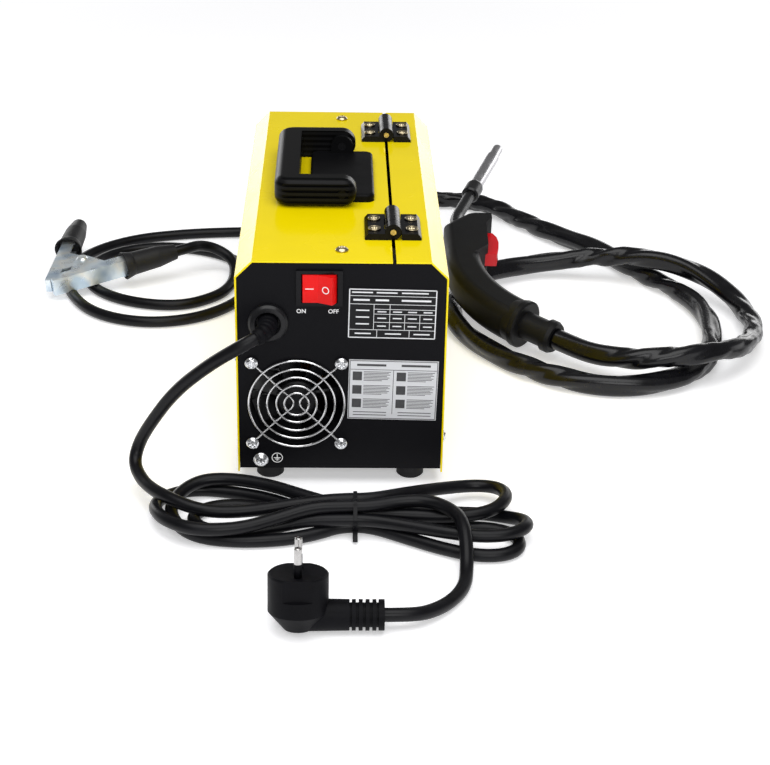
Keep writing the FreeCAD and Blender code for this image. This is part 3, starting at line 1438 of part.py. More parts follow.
def torch_collar():
    """Hose collar behind the grip: a sleeve and a nut."""
    body = turned("torch_collar", [
        (0, 5), (11.5, 5), (11.5, 27), (13.6, 27), (13.6, 32), (12, TORCH_TAIL), (0, TORCH_TAIL),
    ])
    return node("torch_collar", along(torch_frame, body, (0, 0, 0), torch_end))


# ------------------------------------------------------------------ earth clamp
CLAMP_TIP = V(-250.0, 155.5, 14.0)
clamp_low = V(90.0, 44.5, 11.0).normalize()
clamp_up = V(10.0, 123.5, 13.0).normalize()
clamp_half = clamp_low.getAngle(clamp_up) / 2
clamp_middle = (clamp_low + clamp_up).normalize()
clamp_normal = clamp_low.cross(clamp_up).normalize()
clamp_rivet_off = s.clamp_pivot * math.tan(clamp_half)
clamp_sheet = 1.5
clamp_narrow = s.clamp_width - clamp_sheet * 2 - s.side_play * 2


def on_clamp(body, way, start=0):
    """Sets a piece drawn along X of an arm on the lower (way 1) or upper (way -1) arm."""
    along = clamp_low if way > 0 else clamp_up
    normal = clamp_normal * way
    inward = normal.cross(along)
    body.Placement = FreeCAD.Placement(CLAMP_TIP + along * start, FreeCAD.Rotation(along, inward, normal, "ZXY"))
    return body


def clamp_arm(label, width, way):
    """Pressed arm: a channel from the jaw to the grip, with two ears for the rivet and a tang."""
    off = clamp_rivet_off
    pivot = s.clamp_pivot
    body = new_body(label)
    side = sketch_on(body, "XY_Plane", label + "_side", -width / 2)
    outline(side, [
        (0, -5.5), (s.clamp_metal, -5.5), (s.clamp_metal, 5.5), (pivot + 15, 5.5), (pivot + 6, off + 2),
        (pivot + 3, off + 6), (pivot - 3, off + 6), (pivot - 6, off + 2), (pivot - 16, 5.5), (12, 5), (0, -0.6),
    ])
    pad(body, side, width)
    trough = sketch_on(body, "XY_Plane", label + "_trough", -width / 2 + clamp_sheet)
    window(trough, (5, s.clamp_metal + 1), (-5.5 + clamp_sheet, 60))
    pocket(body, trough, width - clamp_sheet * 2, reverse=True)
    hole = sketch_on(body, "XY_Plane", label + "_rivet_hole")
    circle(hole, pivot, off, s.rivet_radius + s.pivot_play)
    pocket(body, hole)
    tang = sketch_on(body, "XY_Plane", label + "_tang", -width * 0.3)
    window(tang, (s.clamp_metal - 8, s.clamp_metal + 24), (-5.5, -5.5 + clamp_sheet))
    pad(body, tang, width * 0.6)
    return node(label, on_clamp(body, way))


def clamp_grip(label, width, way):
    """Moulded grip pushed over the arm's tang."""
    body = new_body(label)
    length = s.clamp_arm - s.clamp_metal
    spin(body, [
        (0, 0), (s.clamp_grip - 1.5, 0), (s.clamp_grip, 1.5), (s.clamp_grip - 0.8, length * 0.6),
        (s.clamp_grip * 0.66, length), (0, length),
    ], label + "_section")
    slot = sketch_on(body, "XY_Plane", label + "_slot")
    window(slot, (-5.5 - s.pivot_play, -5.5 + clamp_sheet + s.pivot_play), (-width * 0.3 - 0.05, width * 0.3 + 0.05))
    pocket(body, slot, 24.5, reverse=True)
    along = clamp_low if way > 0 else clamp_up
    normal = clamp_normal * way
    inward = normal.cross(along)
    turn = FreeCAD.Rotation(inward, normal, along, "ZXY")
    body.Placement = FreeCAD.Placement(CLAMP_TIP + along * float(s.clamp_metal + 0.1), turn)
    return node(label, body)


def clamp_rivet():
    """Rivet through the four ears, with a head at each end."""
    half = s.clamp_width / 2
    body = turned("clamp_rivet", [
        (0, -half - 1.8), (3.6, -half - 1.8), (5, -half), (s.rivet_radius, -half), (s.rivet_radius, half),
        (5, half), (3.6, half + 1.8), (0, half + 1.8),
    ])
    centre = CLAMP_TIP + clamp_middle * (float(s.clamp_pivot) / math.cos(clamp_half))
    body.Placement = FreeCAD.Placement(centre, FreeCAD.Rotation(V(0, 0, 1), clamp_normal))
    return node("clamp_rivet", body)


# ------------------------------------------------------------------ mains plug
PLUG_LEAN = 12.0
plug_frame = FreeCAD.Placement(V(0, 0, 0), FreeCAD.Rotation(V(1, 0, 0), -PLUG_LEAN))


def in_plug(thing, turn=TURNS["Z"]):
    """Lays a piece drawn about the crossing of the plug's two axes where the plug lies."""
    thing.Placement = plug_frame.multiply(FreeCAD.Placement(V(0, 0, 0), turn))
    return place(thing, s.plug_x, s.plug_y, s.relief_z)


def mains_plug():
    """Angled plug leaning back on its sleeve: round head with two flats, cone, arm and ribbed strain relief."""
    radius = s.plug_radius
    face = s.plug_height
    head = new_body("plug_head")
    spin(head, [
        (0, -s.relief_z + 2), (9, -s.relief_z + 2), (radius, 3.4), (radius, face - 1), (radius - 1, face),
        (0, face),
    ], "plug_head_section")
    flats = sketch_on(head, "XY_Plane", "plug_flats", face)
    for side in (-1, 1):
        near, far = radius * 0.87 * side, (radius + 1) * side
        window(flats, (-9.5, 9.5), (min(near, far, key=float), max(near, far, key=float)))
    pocket(head, flats, 14)
    long_arm = s.relief_end - s.plug_x
    ribs = 21.4
    arm = in_plug(turned("plug_arm", [
        (0, 0), (s.relief_radius + 0.6, 0), (s.relief_radius, long_arm - ribs), (0, long_arm - ribs),
    ]), TURNS["X"])
    steps = [(0, 0), (s.relief_radius - 2, 0)]
    for i in range(4):
        rib = 1.4 + i * 4.2
        steps += [(s.relief_radius - 2, rib), (s.relief_radius, rib), (s.relief_radius, rib + 2.4),
                  (s.relief_radius - 2, rib + 2.4)]
    end = Size(ribs)
    steps += [(s.relief_radius - 2, end - 3.6), (s.relief_radius, end - 3.6), (s.relief_radius, end), (0, end)]
    relief = turned("plug_relief", steps)
    relief.Placement = FreeCAD.Placement(V(0, 0, 0), TURNS["X"])
    place(relief, s.relief_end - ribs, s.plug_y, s.relief_z)
    return node("mains_plug", fuse("mains_plug", in_plug(head), arm, relief))


def plug_pins():
    """Two round pins."""
    pins = []
    tip = s.plug_height + s.plug_pin_length
    for i, side in enumerate((-1, 1)):
        body = new_body("plug_pin_%d" % i)
        plan = sketch_on(body, "XY_Plane", "pin_plan_%d" % i, s.plug_height)
        circle(plan, 0, s.plug_pin_pitch * side / 2, s.plug_pin)
        pad(body, plan, s.plug_pin_length)
        round_edges(body, 1, lambda middle, along: middle.z > float(tip) - 0.01)
        pins.append(in_plug(body))
    return node("plug_pins", group("plug_pins", pins))


# ------------------------------------------------------------------ cords
def mains_lead_from_gland():
    """Mains lead from the gland down to the floor and the hank."""
    return node("mains_lead_from_gland", tube("mains_lead_from_gland", [
        (float(gland_x), -float(half_depth), float(s.gland_z)),
        (float(gland_x), -178.0, float(s.gland_z)),
        (-56.5, -188.5, 123.6),
        (-70.0, -192.0, 117.0),
        (-89.0, -188.0, 103.0),
        (-113.0, -179.0, 79.0),
        (-132.0, -170.0, 49.0),
        (-141.0, -166.0, 30.0),
        (-143.0, -171.0, 17.0),
        (-136.66, -180.52, 9.5),
        (-124.0, -196.0, 9.5),
    ], s.lead_radius))


def mains_lead_to_plug():
    """Mains lead from the hank to the plug."""
    return node("mains_lead_to_plug", tube("mains_lead_to_plug", [
        (81.5, -272.5, 9.0),
        (81.5, -287.0, 9.0),
        (79.8, -304.0, 4.9),
        (69.0, -324.0, 5.0),
        (54.5, -339.0, 7.4),
        (41.0, -346.0, float(s.relief_z)),
        (float(s.relief_end), float(s.plug_y), float(s.relief_z)),
    ], s.lead_radius))


HANK_TOP = 19.0
HANK_CROWN = 27.0
TIE_X = 10.0
TIE_WIDTH = 3.6
TIE_THICK = 1.2
tie_span = ((-243.9, -214.1), (0.3, 27.3))


def tie_ring(name, width, spare):
    """Band round the hank's waist."""
    (y0, y1), (z0, z1) = tie_span
    xs = (Size(TIE_X - width / 2), Size(TIE_X + width / 2))
    outer = box(name + "_outer", xs, (Size(y0 - spare), Size(y1 + spare)), (Size(z0 - spare), Size(z1 + spare)))
    inner = box(name + "_inner", (xs[0] - 1, xs[1] + 1), (Size(y0 + TIE_THICK), Size(y1 - TIE_THICK)),
                (Size(z0 + TIE_THICK), Size(z1 - TIE_THICK)))
    return cut(name, outer, inner)


def mains_hank():
    """Outer shape of the tied hank: two wide ends, a waist, and the crown where the lead crosses on top."""
    body = new_body("hank_block")
    plan = sketch_on(body, "XY_Plane", "hank_plan")
    outline(plan, [
        (-133.24, -203.56), (-131, -222), (-123, -242), (-104, -257), (-60, -257), (-14, -243), (34, -243),
        (66, -272.5), (112, -272.5), (126, -262), (130, -246), (128, -222), (117, -192), (104, -180), (88, -180),
        (34, -215), (-14, -215), (-50, -187), (-84, -179), (-114.76, -188.44),
    ])
    pad(body, plan, HANK_TOP)
    crown = sketch_on(body, "XY_Plane", "hank_crown", HANK_TOP - 6)
    outline(crown, [
        (-14, -243), (58, -243), (70, -265), (92, -265), (86, -238), (66, -220), (34, -215), (-14, -215),
    ])
    pad(body, crown, HANK_CROWN - HANK_TOP + 6)
    return node("mains_hank", cut("mains_hank", body, tie_ring("hank_waist", TIE_WIDTH + 0.6, 0.3)))


def cable_tie():
    """Tie round the waist of the hank."""
    return node("cable_tie", tie_ring("cable_tie", TIE_WIDTH, 0))


def earth_cable():
    """Earth cable: from its plug, two easy turns on the floor beside the case, up into the clamp's lower grip."""
    end = CLAMP_TIP + clamp_low * (float(s.clamp_arm) + 0.1)
    lead_out = end + clamp_low * 14
    return node("earth_cable", tube("earth_cable", [
        tuple(end),
        tuple(lead_out),
        (-127.0, 223.5, 26.0),
        (-115.3, 229.0, 22.0),
        (-102.6, 226.5, 16.0),
        (-95.4, 217.0, 11.0),
        (-94.6, 203.0, 6.6),
        (-96.6, 182.0, 4.85),
        (-107.0, 157.0, 4.85),
        (-138.0, 134.0, 4.85),
        (-184.0, 143.0, 4.85),
        (-218.0, 172.0, 4.85),
        (-229.0, 212.0, 4.85),
        (-214.0, 252.0, 4.85),
        (-176.0, 273.0, 4.85),
        (-130.0, 268.0, 4.85),
        (-92.0, 240.0, 4.85),
        (-80.0, 196.0, 4.85),
        (-84.0, 150.0, 4.85),
        (-118.0, 110.0, 4.85),
        (-164.0, 98.0, 4.85),
        (-208.0, 116.0, 4.85),
        (-234.0, 156.0, 4.85),
        (-246.0, 206.0, 4.85),
        (-233.0, 254.0, 4.85),
        (-196.0, 290.0, 4.85),
        (-146.0, 306.0, 4.85),
        (-95.0, 312.0, 4.85),
        (-60.0, 302.0, 9.0),
        (-45.0, 276.0, 24.0),
        (-44.0, 252.0, 38.0),
        (float(socket_x), float(half_depth) + float(socket_lip) + EARTH_PLUG, float(s.socket_z)),
    ], s.earth_cable_radius))


def torch_hose():
    """Torch hose: from the outlet down to the floor, two wide turns beside the case and into the torch."""
    end = torch_frame.multVec(torch_end * TORCH_TAIL)
    return node("torch_hose", tube("torch_hose", [
        (float(outlet_x), float(half_depth) + OUTLET_BOOT, float(s.outlet_z)),
        (33.0, 254.0, 80.4),
        (33.5, 301.0, 63.0),
        (40.0, 345.0, 36.0),
        (60.0, 382.0, 14.0),
        (100.0, 399.0, 9.3),
        (144.0, 384.0, 9.3),
        (172.0, 344.0, 9.3),
        (204.0, 300.0, 9.3),
        (243.0, 262.0, 9.3),
        (266.0, 214.0, 9.3),
        (296.0, 172.0, 9.3),
        (314.0, 124.0, 9.3),
        (309.0, 66.0, 9.3),
        (292.0, 10.0, 9.3),
        (250.0, -22.0, 9.3),
        (196.0, -24.0, 9.3),
        (144.0, 10.0, 9.3),
        (106.0, 62.0, 9.3),
        (91.0, 124.0, 9.4),
        (112.0, 182.0, 13.6),
        (162.0, 216.0, 13.0),
        (220.0, 215.0, 21.0),
        (273.0, 198.0, 30.0),
        (318.0, 172.0, 25.0),
        (347.0, 126.0, 12.0),
        (346.0, 69.0, 12.0),
        (322.0, 18.0, 24.0),
        (282.0, -9.0, 30.0),
        (241.0, -8.0, 25.0),
        tuple(torch_frame.multVec(torch_end * (TORCH_TAIL + 40))),
        tuple(end),
    ], s.hose_radius))


# ------------------------------------------------------------------ the whole machine
end_panel("rear_panel", True, rear_openings)
end_panel("front_panel", False, front_openings)
for make in (
        chassis_tray, feet, divider_wall, main_cover, lower_side_sheet, side_door, door_latch, hinge_parts, pivot_pins,
        handle_base, handle_bail, rocker_housing, rocker_button, cable_gland, fan_guard, fan_frame, fan_rotor,
        case_screws, rear_plates, power_board, heat_sinks, transformer_and_choke,
        control_knobs, current_sockets, earth_plug, torch_outlet, spool_hub, wire_spool, welding_wire,
        spool_nut, feeder_frame, feed_motor, drive_roll, pressure_arm, pressure_roll, tension_screw,
        torch_handle, torch_trigger, swan_neck, gas_nozzle, contact_tip, torch_collar, clamp_rivet, mains_plug, plug_pins,
        mains_lead_from_gland, mains_lead_to_plug, mains_hank, cable_tie, earth_cable, torch_hose):
    make()
clamp_arm("clamp_lower", s.clamp_width, 1)
clamp_arm("clamp_upper", clamp_narrow, -1)
clamp_grip("clamp_lower_grip", s.clamp_width, 1)
clamp_grip("clamp_upper_grip", clamp_narrow, -1)
doc.recompute()

faults = [thing.Label for thing in doc.Objects if "Invalid" in thing.State or "Error" in thing.State]
for label, thing in NODES.items():
    if thing.Shape.isNull() or not thing.Shape.isValid() or thing.Shape.Volume < 1:
        faults.append("shape of " + label)
if faults:
    raise ValueError("failed: " + ", ".join(faults))

os.makedirs("parts", exist_ok=True)
for label, thing in NODES.items():
    thing.Shape.exportStep("parts/%s.step" % label)
    print("%-24s %2d solid(s) %10.0f mm3" % (label, len(thing.Shape.Solids), thing.Shape.Volume))
print("%d nodes" % len(NODES))
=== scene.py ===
import math

import bmesh
import bpy
import numpy as np
from mathutils import Matrix, Vector


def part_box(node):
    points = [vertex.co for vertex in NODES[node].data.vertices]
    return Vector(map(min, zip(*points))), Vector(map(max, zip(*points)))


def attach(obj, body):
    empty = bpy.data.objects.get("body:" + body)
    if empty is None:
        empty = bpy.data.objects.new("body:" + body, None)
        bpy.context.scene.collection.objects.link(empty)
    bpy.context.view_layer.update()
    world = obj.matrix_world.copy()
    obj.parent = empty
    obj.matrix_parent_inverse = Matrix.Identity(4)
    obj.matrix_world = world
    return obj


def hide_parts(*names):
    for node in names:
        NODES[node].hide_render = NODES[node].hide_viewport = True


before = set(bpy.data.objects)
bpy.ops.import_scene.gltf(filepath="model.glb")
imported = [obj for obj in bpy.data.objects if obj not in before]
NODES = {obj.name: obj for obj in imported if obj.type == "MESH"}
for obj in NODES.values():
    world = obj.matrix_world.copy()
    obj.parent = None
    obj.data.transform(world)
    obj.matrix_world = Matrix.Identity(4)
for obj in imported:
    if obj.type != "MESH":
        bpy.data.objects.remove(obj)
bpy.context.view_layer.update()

# ---- camera
# The machine stands with its rear panel towards a long lens on a raised tripod, which looks down at it
# from a hair to one side.
CAMERA_AT = (-0.00307, -1.2364, 0.60494)
CAMERA_DOWN = 26.0917
CAMERA_YAW = -1.7825
CAMERA_ROLL = 1.1561
CAMERA_LENS = 81.13
SENSOR_WIDTH = 36.0


def new_object(name, data):
    """An object at the origin of the scene that shows this data."""
    made = bpy.data.objects.new(name, data)
    bpy.context.scene.collection.objects.link(made)
    return made


camera_data = bpy.data.cameras.new("camera")
camera = new_object("camera", camera_data)
bpy.context.scene.camera = camera
camera_data.lens = CAMERA_LENS
camera_data.sensor_width = SENSOR_WIDTH
look = Matrix.Rotation(math.radians(CAMERA_YAW), 4, "Z") @ Matrix.Rotation(math.radians(90 - CAMERA_DOWN), 4, "X")
camera.matrix_world = Matrix.Translation(CAMERA_AT) @ look @ Matrix.Rotation(math.radians(CAMERA_ROLL), 4, "Z")


# ---- floor and light
# A plain white table top, which glows a little so that it stays white far off, under a wide soft box. Two
# low walls of light behind the machine show in the sloping corners of its case, and a fill lights its near end.
class Value:
    """A number or a colour on its way through a shader; arithmetic on values adds Math nodes."""

    def __init__(self, finish, socket):
        self.finish = finish
        self.socket = socket

    def __add__(self, other):
        return self.finish.math("ADD", self, other)

    def __sub__(self, other):
        return self.finish.math("SUBTRACT", self, other)

    def __rsub__(self, other):
        return self.finish.math("SUBTRACT", other, self)

    def __mul__(self, other):
        return self.finish.math("MULTIPLY", self, other)

    def __pow__(self, other):
        return self.finish.math("POWER", self, other)

    def __rpow__(self, other):
        return self.finish.math("POWER", other, self)

    def __gt__(self, other):
        return self.finish.math("GREATER_THAN", self, other)

    def __lt__(self, other):
        return self.finish.math("LESS_THAN", self, other)

    __radd__ = __add__
    __rmul__ = __mul__


class Finish:
    """One material: a Principled shader whose fixed sockets are set here and whose varying ones are fed by Values."""

    def __init__(self, name, **fixed):
        self.material = bpy.data.materials.new(name)
        self.material.use_nodes = True
        self.tree = self.material.node_tree
        self.shader = self.tree.nodes["Principled BSDF"]
        self.set(**fixed)

    def set(self, **sockets):
        """Gives the shader's sockets their numbers or links; underscores stand for spaces."""
        for name, value in sockets.items():
            self.feed(self.shader.inputs[name.replace("_", " ")], value)

    def feed(self, socket, value):
        """Links a Value to a socket, or sets the socket to a number or a colour."""
        if isinstance(value, Value):
            self.tree.links.new(value.socket, socket)
        elif isinstance(value, tuple) and socket.type == "RGBA":
            socket.default_value = (*value[:3], 1.0)
        else:
            socket.default_value = value

    def node(self, kind, settings=(), sockets=(), out=0):
        """Adds one node: its settings first (stops are a ramp's), then its sockets, and returns one of its outputs."""
        made = self.tree.nodes.new(kind)
        for name, value in dict(settings).items():
            if name == "stops":
                ramp = made.color_ramp.elements
                while len(ramp) < len(value):
                    ramp.new(0.5)
                for stop, (place, colour) in zip(ramp, value):
                    stop.position = place
                    stop.color = (*colour, 1.0)
            else:
                setattr(made, name, value)
        for name, value in dict(sockets).items():
            self.feed(made.inputs[name], value)
        return Value(self, made.outputs[out])

    def math(self, operation, *terms):
        """Adds a Math node on numbers and Values."""
        return self.node("ShaderNodeMath", {"operation": operation}, dict(enumerate(terms)))

    def place(self, scale=(1.0, 1.0, 1.0)):
        """Object coordinates, each multiplied by its own scale."""
        at = self.node("ShaderNodeTexCoord", out="Object")
        return self.node("ShaderNodeMapping", {}, {"Vector": at, "Scale": scale})

    def axis(self, letter):
        """One of the object coordinates, in metres."""
        return self.node("ShaderNodeSeparateXYZ", {}, {"Vector": self.place()}, letter)

    def noise(self, scale, detail=3.0, rough=0.5, at=None):
        """Cloudy noise from 0 to 1, scale patches to the metre."""
        at = self.place() if at is None else at
        return self.node("ShaderNodeTexNoise", {}, {"Vector": at, "Scale": scale, "Detail": detail, "Roughness": rough})

    def ramp(self, value, low, high, to_low=0.0, to_high=1.0):
        """value from low..high to to_low..to_high with soft ends, clamped."""
        return self.node("ShaderNodeMapRange", {"interpolation_type": "SMOOTHSTEP"},
                         {"Value": value, "From Min": low, "From Max": high, "To Min": to_low, "To Max": to_high})

    def blend(self, amount, first, second):
        """Colour first where amount is 0, second where it is 1."""
        return self.node("ShaderNodeMix", {"data_type": "RGBA"}, {"Factor": amount, 6: first, 7: second}, 2)

    def bump(self, height, depth):
        """Feeds the shader's normal with height, whose full range is depth metres."""
        self.set(Normal=self.node("ShaderNodeBump", {}, {"Height": height, "Distance": depth}))

    def on(self, *names):
        """Puts the material on CAD nodes or pieces, by name."""
        for name in names:
            target = NODES[name] if isinstance(name, str) else name
            target.data.materials.clear()
            target.data.materials.append(self.material)


def solid(name, points, faces, finish, body="machine", slot=None, smooth=True, stands_for=()):
    """A piece from points (n x 3 numbers, metres) and faces; rides on body. The slot argument is not used."""
    mesh = bpy.data.meshes.new(name)
    mesh.from_pydata(np.asarray(points, float).reshape(-1, 3).tolist(), [], [tuple(map(int, face)) for face in faces])
    mesh.polygons.foreach_set("use_smooth", [smooth] * len(mesh.polygons))
    mesh.update()
    piece = new_object(name, mesh)
    finish.on(piece)
    if body is not None:
        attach(piece, body)
    if stands_for:
        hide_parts(*stands_for)
    return piece


def grid_faces(rows, columns, loop_rows=False, loop_columns=False):
    """Quads between the points of a grid stored row after row; a loop joins its last row or column to its first."""
    down = np.arange(rows if loop_rows else rows - 1)
    over = np.arange(columns if loop_columns else columns - 1)
    a, b = np.meshgrid(down, over, indexing="ij")
    a2, b2 = (a + 1) % rows, (b + 1) % columns
    quads = np.stack([a * columns + b, a2 * columns + b, a2 * columns + b2, a * columns + b2], axis=-1)
    return quads.reshape(-1, 4)


FLOOR_HALF = 40.0
FLOOR_GLOW = 0.38
SKY_LIGHT = 0.22
SKY_SEEN = 0.62
floor_edge = np.linspace(-FLOOR_HALF, FLOOR_HALF, 9)
floor_x, floor_y = np.meshgrid(floor_edge, floor_edge, indexing="ij")
white_table = Finish("white_table", Roughness=0.8, Specular_IOR_Level=0.2, Emission_Color=(1.0, 1.0, 1.0),
                     Emission_Strength=FLOOR_GLOW)
white_table.set(Base_Color=white_table.blend(white_table.noise(2.0), (0.90, 0.90, 0.92), (0.93, 0.93, 0.945)))
floor = solid("floor", np.stack([floor_x, floor_y, np.zeros_like(floor_x)], axis=-1), grid_faces(9, 9), white_table,
              body=None)

world = bpy.data.worlds.new("studio")
bpy.context.scene.world = world
world.use_nodes = True
sky = world.node_tree
sky_seen = sky.nodes.new("ShaderNodeLightPath").outputs["Is Camera Ray"]
sky_mix = sky.nodes.new("ShaderNodeMix")
sky_mix.inputs["A"].default_value = SKY_LIGHT
sky_mix.inputs["B"].default_value = SKY_SEEN
sky.links.new(sky_seen, sky_mix.inputs["Factor"])
sky.nodes["Background"].inputs["Color"].default_value = (1.0, 1.0, 1.0, 1.0)
sky.links.new(sky_mix.outputs["Result"], sky.nodes["Background"].inputs["Strength"])
bpy.context.scene.view_settings.view_transform = "Standard"


def soft_box(name, at, aim, width, height, power):
    """A rectangular lamp of width by height at a point, facing aim."""
    lamp = bpy.data.lights.new(name, "AREA")
    lamp.shape = "RECTANGLE"
    lamp.size, lamp.size_y = width, height
    lamp.energy = power
    holder = new_object(name, lamp)
    holder.visible_camera = False
    facing = (Vector(aim) - Vector(at)).to_track_quat("-Z", "Y").to_matrix().to_4x4()
    holder.matrix_world = Matrix.Translation(at) @ facing


soft_box("overhead", (0.0, -0.5, 1.5), aim=(0.0, -0.1, 0.1), width=1.6, height=1.4, power=20.5)
soft_box("left_wall", (-1.3, 2.2, 0.35), aim=(-0.07, 0.0, 0.15), width=1.7, height=0.9, power=14.0)
soft_box("right_wall", (1.3, 2.2, 0.35), aim=(0.07, 0.0, 0.15), width=1.7, height=0.9, power=14.0)
soft_box("front_fill", (0.3, -2.2, 1.1), aim=(0.0, 0.0, 0.1), width=1.4, height=1.0, power=18.0)

# ---- mains lead
# Three cores in a round black rubber sheath, 9 mm thick. It hangs from the gland to the floor, is folded
# into a loose hank tied at the waist, and ends in its moulded plug.
LEAD_RADIUS = 0.0045
mains_lead_points = [
    (-0.0496, -0.1646, 0.1247), (-0.0496, -0.178, 0.1247), (-0.0565, -0.1885, 0.1236), (-0.07, -0.192, 0.117),
    (-0.089, -0.188, 0.103), (-0.113, -0.179, 0.079), (-0.132, -0.17, 0.049), (-0.141, -0.166, 0.031),
    (-0.1435, -0.173, 0.02), (-0.137, -0.189, 0.0165), (-0.128, -0.205, 0.0176), (-0.116, -0.218, 0.0186),
    (-0.099, -0.2275, 0.016), (-0.08, -0.23, 0.0142), (-0.055, -0.228, 0.015), (-0.028, -0.2255, 0.0188),
    (0.0, -0.2245, 0.0216), (0.02, -0.2245, 0.0216), (0.045, -0.212, 0.0195), (0.068, -0.195, 0.0135),
    (0.09, -0.184, 0.0098), (0.106, -0.187, 0.011), (0.114, -0.2, 0.014), (0.112, -0.216, 0.0156),
    (0.1, -0.229, 0.0146), (0.076, -0.234, 0.0139), (0.046, -0.232, 0.0139), (0.02, -0.229, 0.0138),
    (0.0, -0.229, 0.0138), (-0.022, -0.222, 0.01), (-0.046, -0.21, 0.0055), (-0.072, -0.203, 0.0048),
    (-0.092, -0.208, 0.0048), (-0.101, -0.221, 0.0048), (-0.093, -0.236, 0.0048), (-0.07, -0.241, 0.0048),
    (-0.044, -0.239, 0.008), (-0.022, -0.238, 0.0134), (0.0, -0.238, 0.0138), (0.02, -0.238, 0.0138),
    (0.046, -0.246, 0.014), (0.07, -0.254, 0.0139), (0.092, -0.259, 0.0139), (0.112, -0.257, 0.0139),
    (0.125, -0.246, 0.0139), (0.124, -0.231, 0.01), (0.113, -0.219, 0.0052), (0.098, -0.214, 0.0048),
    (0.076, -0.213, 0.0048), (0.05, -0.216, 0.009), (0.02, -0.22, 0.0138), (0.0, -0.22, 0.0138),
    (-0.024, -0.207, 0.0139), (-0.05, -0.191, 0.0139), (-0.076, -0.183, 0.0139), (-0.096, -0.185, 0.0139),
    (-0.109, -0.196, 0.0116), (-0.116, -0.213, 0.008), (-0.11, -0.232, 0.0055), (-0.094, -0.247, 0.0048),
    (-0.066, -0.252, 0.0048), (-0.036, -0.249, 0.0048), (-0.016, -0.242, 0.005), (0.0, -0.2335, 0.006),
    (0.02, -0.2335, 0.006), (0.044, -0.246, 0.0048), (0.066, -0.259, 0.0048), (0.088, -0.268, 0.0048),
    (0.107, -0.268, 0.0048), (0.119, -0.259, 0.0048), (0.1185, -0.243, 0.0048), (0.104, -0.234, 0.0048),
    (0.08, -0.232, 0.0048), (0.05, -0.23, 0.0048), (0.02, -0.2245, 0.006), (0.0, -0.2245, 0.006),
    (-0.024, -0.211, 0.0049), (-0.048, -0.195, 0.0048), (-0.074, -0.186, 0.0048), (-0.102, -0.182, 0.0048),
    (-0.121, -0.193, 0.0056), (-0.127, -0.213, 0.009), (-0.119, -0.235, 0.0125), (-0.103, -0.249, 0.0139),
    (-0.086, -0.2525, 0.0139), (-0.064, -0.25, 0.0142), (-0.042, -0.243, 0.0175), (-0.02, -0.236, 0.0218),
    (0.0, -0.2335, 0.0216), (0.02, -0.2335, 0.0216), (0.042, -0.228, 0.0229), (0.06, -0.2285, 0.0232),
    (0.074, -0.24, 0.0233), (0.0805, -0.256, 0.024), (0.082, -0.274, 0.0165), (0.0815, -0.288, 0.0075),
    (0.0795, -0.305, 0.0048), (0.069, -0.324, 0.005), (0.0545, -0.339, 0.0074), (0.041, -0.346, 0.0104),
    (0.0272, -0.346, 0.0104),
]


def route(name, points, radius, turns=12):
    """A curve of one NURBS spline of order 3 with these control points, and a round section of radius."""
    line = bpy.data.curves.new(name, "CURVE")
    line.dimensions = "3D"
    spline = line.splines.new("NURBS")
    spline.points.add(len(points) - 1)
    spline.points.foreach_set("co", np.hstack([np.array(points), np.ones((len(points), 1))]).ravel())
    spline.order_u = 3
    spline.use_endpoint_u = True
    line.resolution_u = turns
    line.bevel_depth = radius
    line.bevel_resolution = 5 if radius else 0
    line.use_fill_caps = True
    return new_object(name, line)


def rubber(name, colour, rough, grain, depth, shine):
    """Moulded or extruded rubber: a faint bloom over a fine matt skin."""
    skin = Finish(name, Specular_IOR_Level=shine)
    bloom = skin.noise(60.0, 4.0, 0.6)
    skin.set(Base_Color=skin.blend(skin.ramp(bloom, 0.35, 0.75), colour, tuple(part * 1.6 for part in colour)),
             Roughness=skin.ramp(bloom, 0.2, 0.8, rough - 0.05, rough + 0.08))
    skin.bump(skin.noise(grain, 2.0), depth)
    return skin


cord_rubber = rubber("cord_rubber", (0.003, 0.003, 0.004), rough=0.34, grain=1300.0, depth=0.00002, shine=0.19)
mains_lead = route("mains_lead", mains_lead_points, LEAD_RADIUS)
cord_rubber.on(mains_lead)
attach(mains_lead, "machine")
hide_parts("mains_lead_from_gland", "mains_hank", "mains_lead_to_plug")

# ---- mains plug
# Angled plug of matt black rubber moulded on the lead, with a ribbed sleeve. Its two nickel-plated pins
# are insulated over the half next to the plug.
plug_rubber = rubber("plug_rubber", (0.003, 0.003, 0.004), rough=0.5, grain=800.0, depth=0.00006, shine=0.08)
plug_rubber.on("mains_plug")


def metal(name, colour, rough, brushed=(1.0, 1.0, 1.0), grain=220.0, depth=0.00001):
    """Plated or machined metal: fine scratches stretched along one way, and uneven polish."""
    steel = Finish(name, Metallic=1.0)
    scratch = steel.noise(grain, 3.0, 0.6, steel.place(brushed))
    wear = steel.noise(35.0, 3.0)
    steel.set(Base_Color=steel.blend(steel.ramp(wear, 0.3, 0.7), tuple(part * 0.84 for part in colour), colour),
              Roughness=steel.ramp(scratch, 0.3, 0.7, rough - 0.05, rough + 0.08))
    steel.bump(scratch, depth)
    return steel


metal("nickel_plate", (0.52, 0.51, 0.50), rough=0.22).on("plug_pins")

PLUG_MIDDLE = np.array([-0.0256, -0.346, 0.0104])
PLUG_LEAN = math.radians(12.0)
PIN_PITCH = 0.019
PIN_RADIUS = 0.0024
PLUG_FACE = 0.0275
SLEEVE_LENGTH = 0.009
SLEEVE_THICK = 0.0001


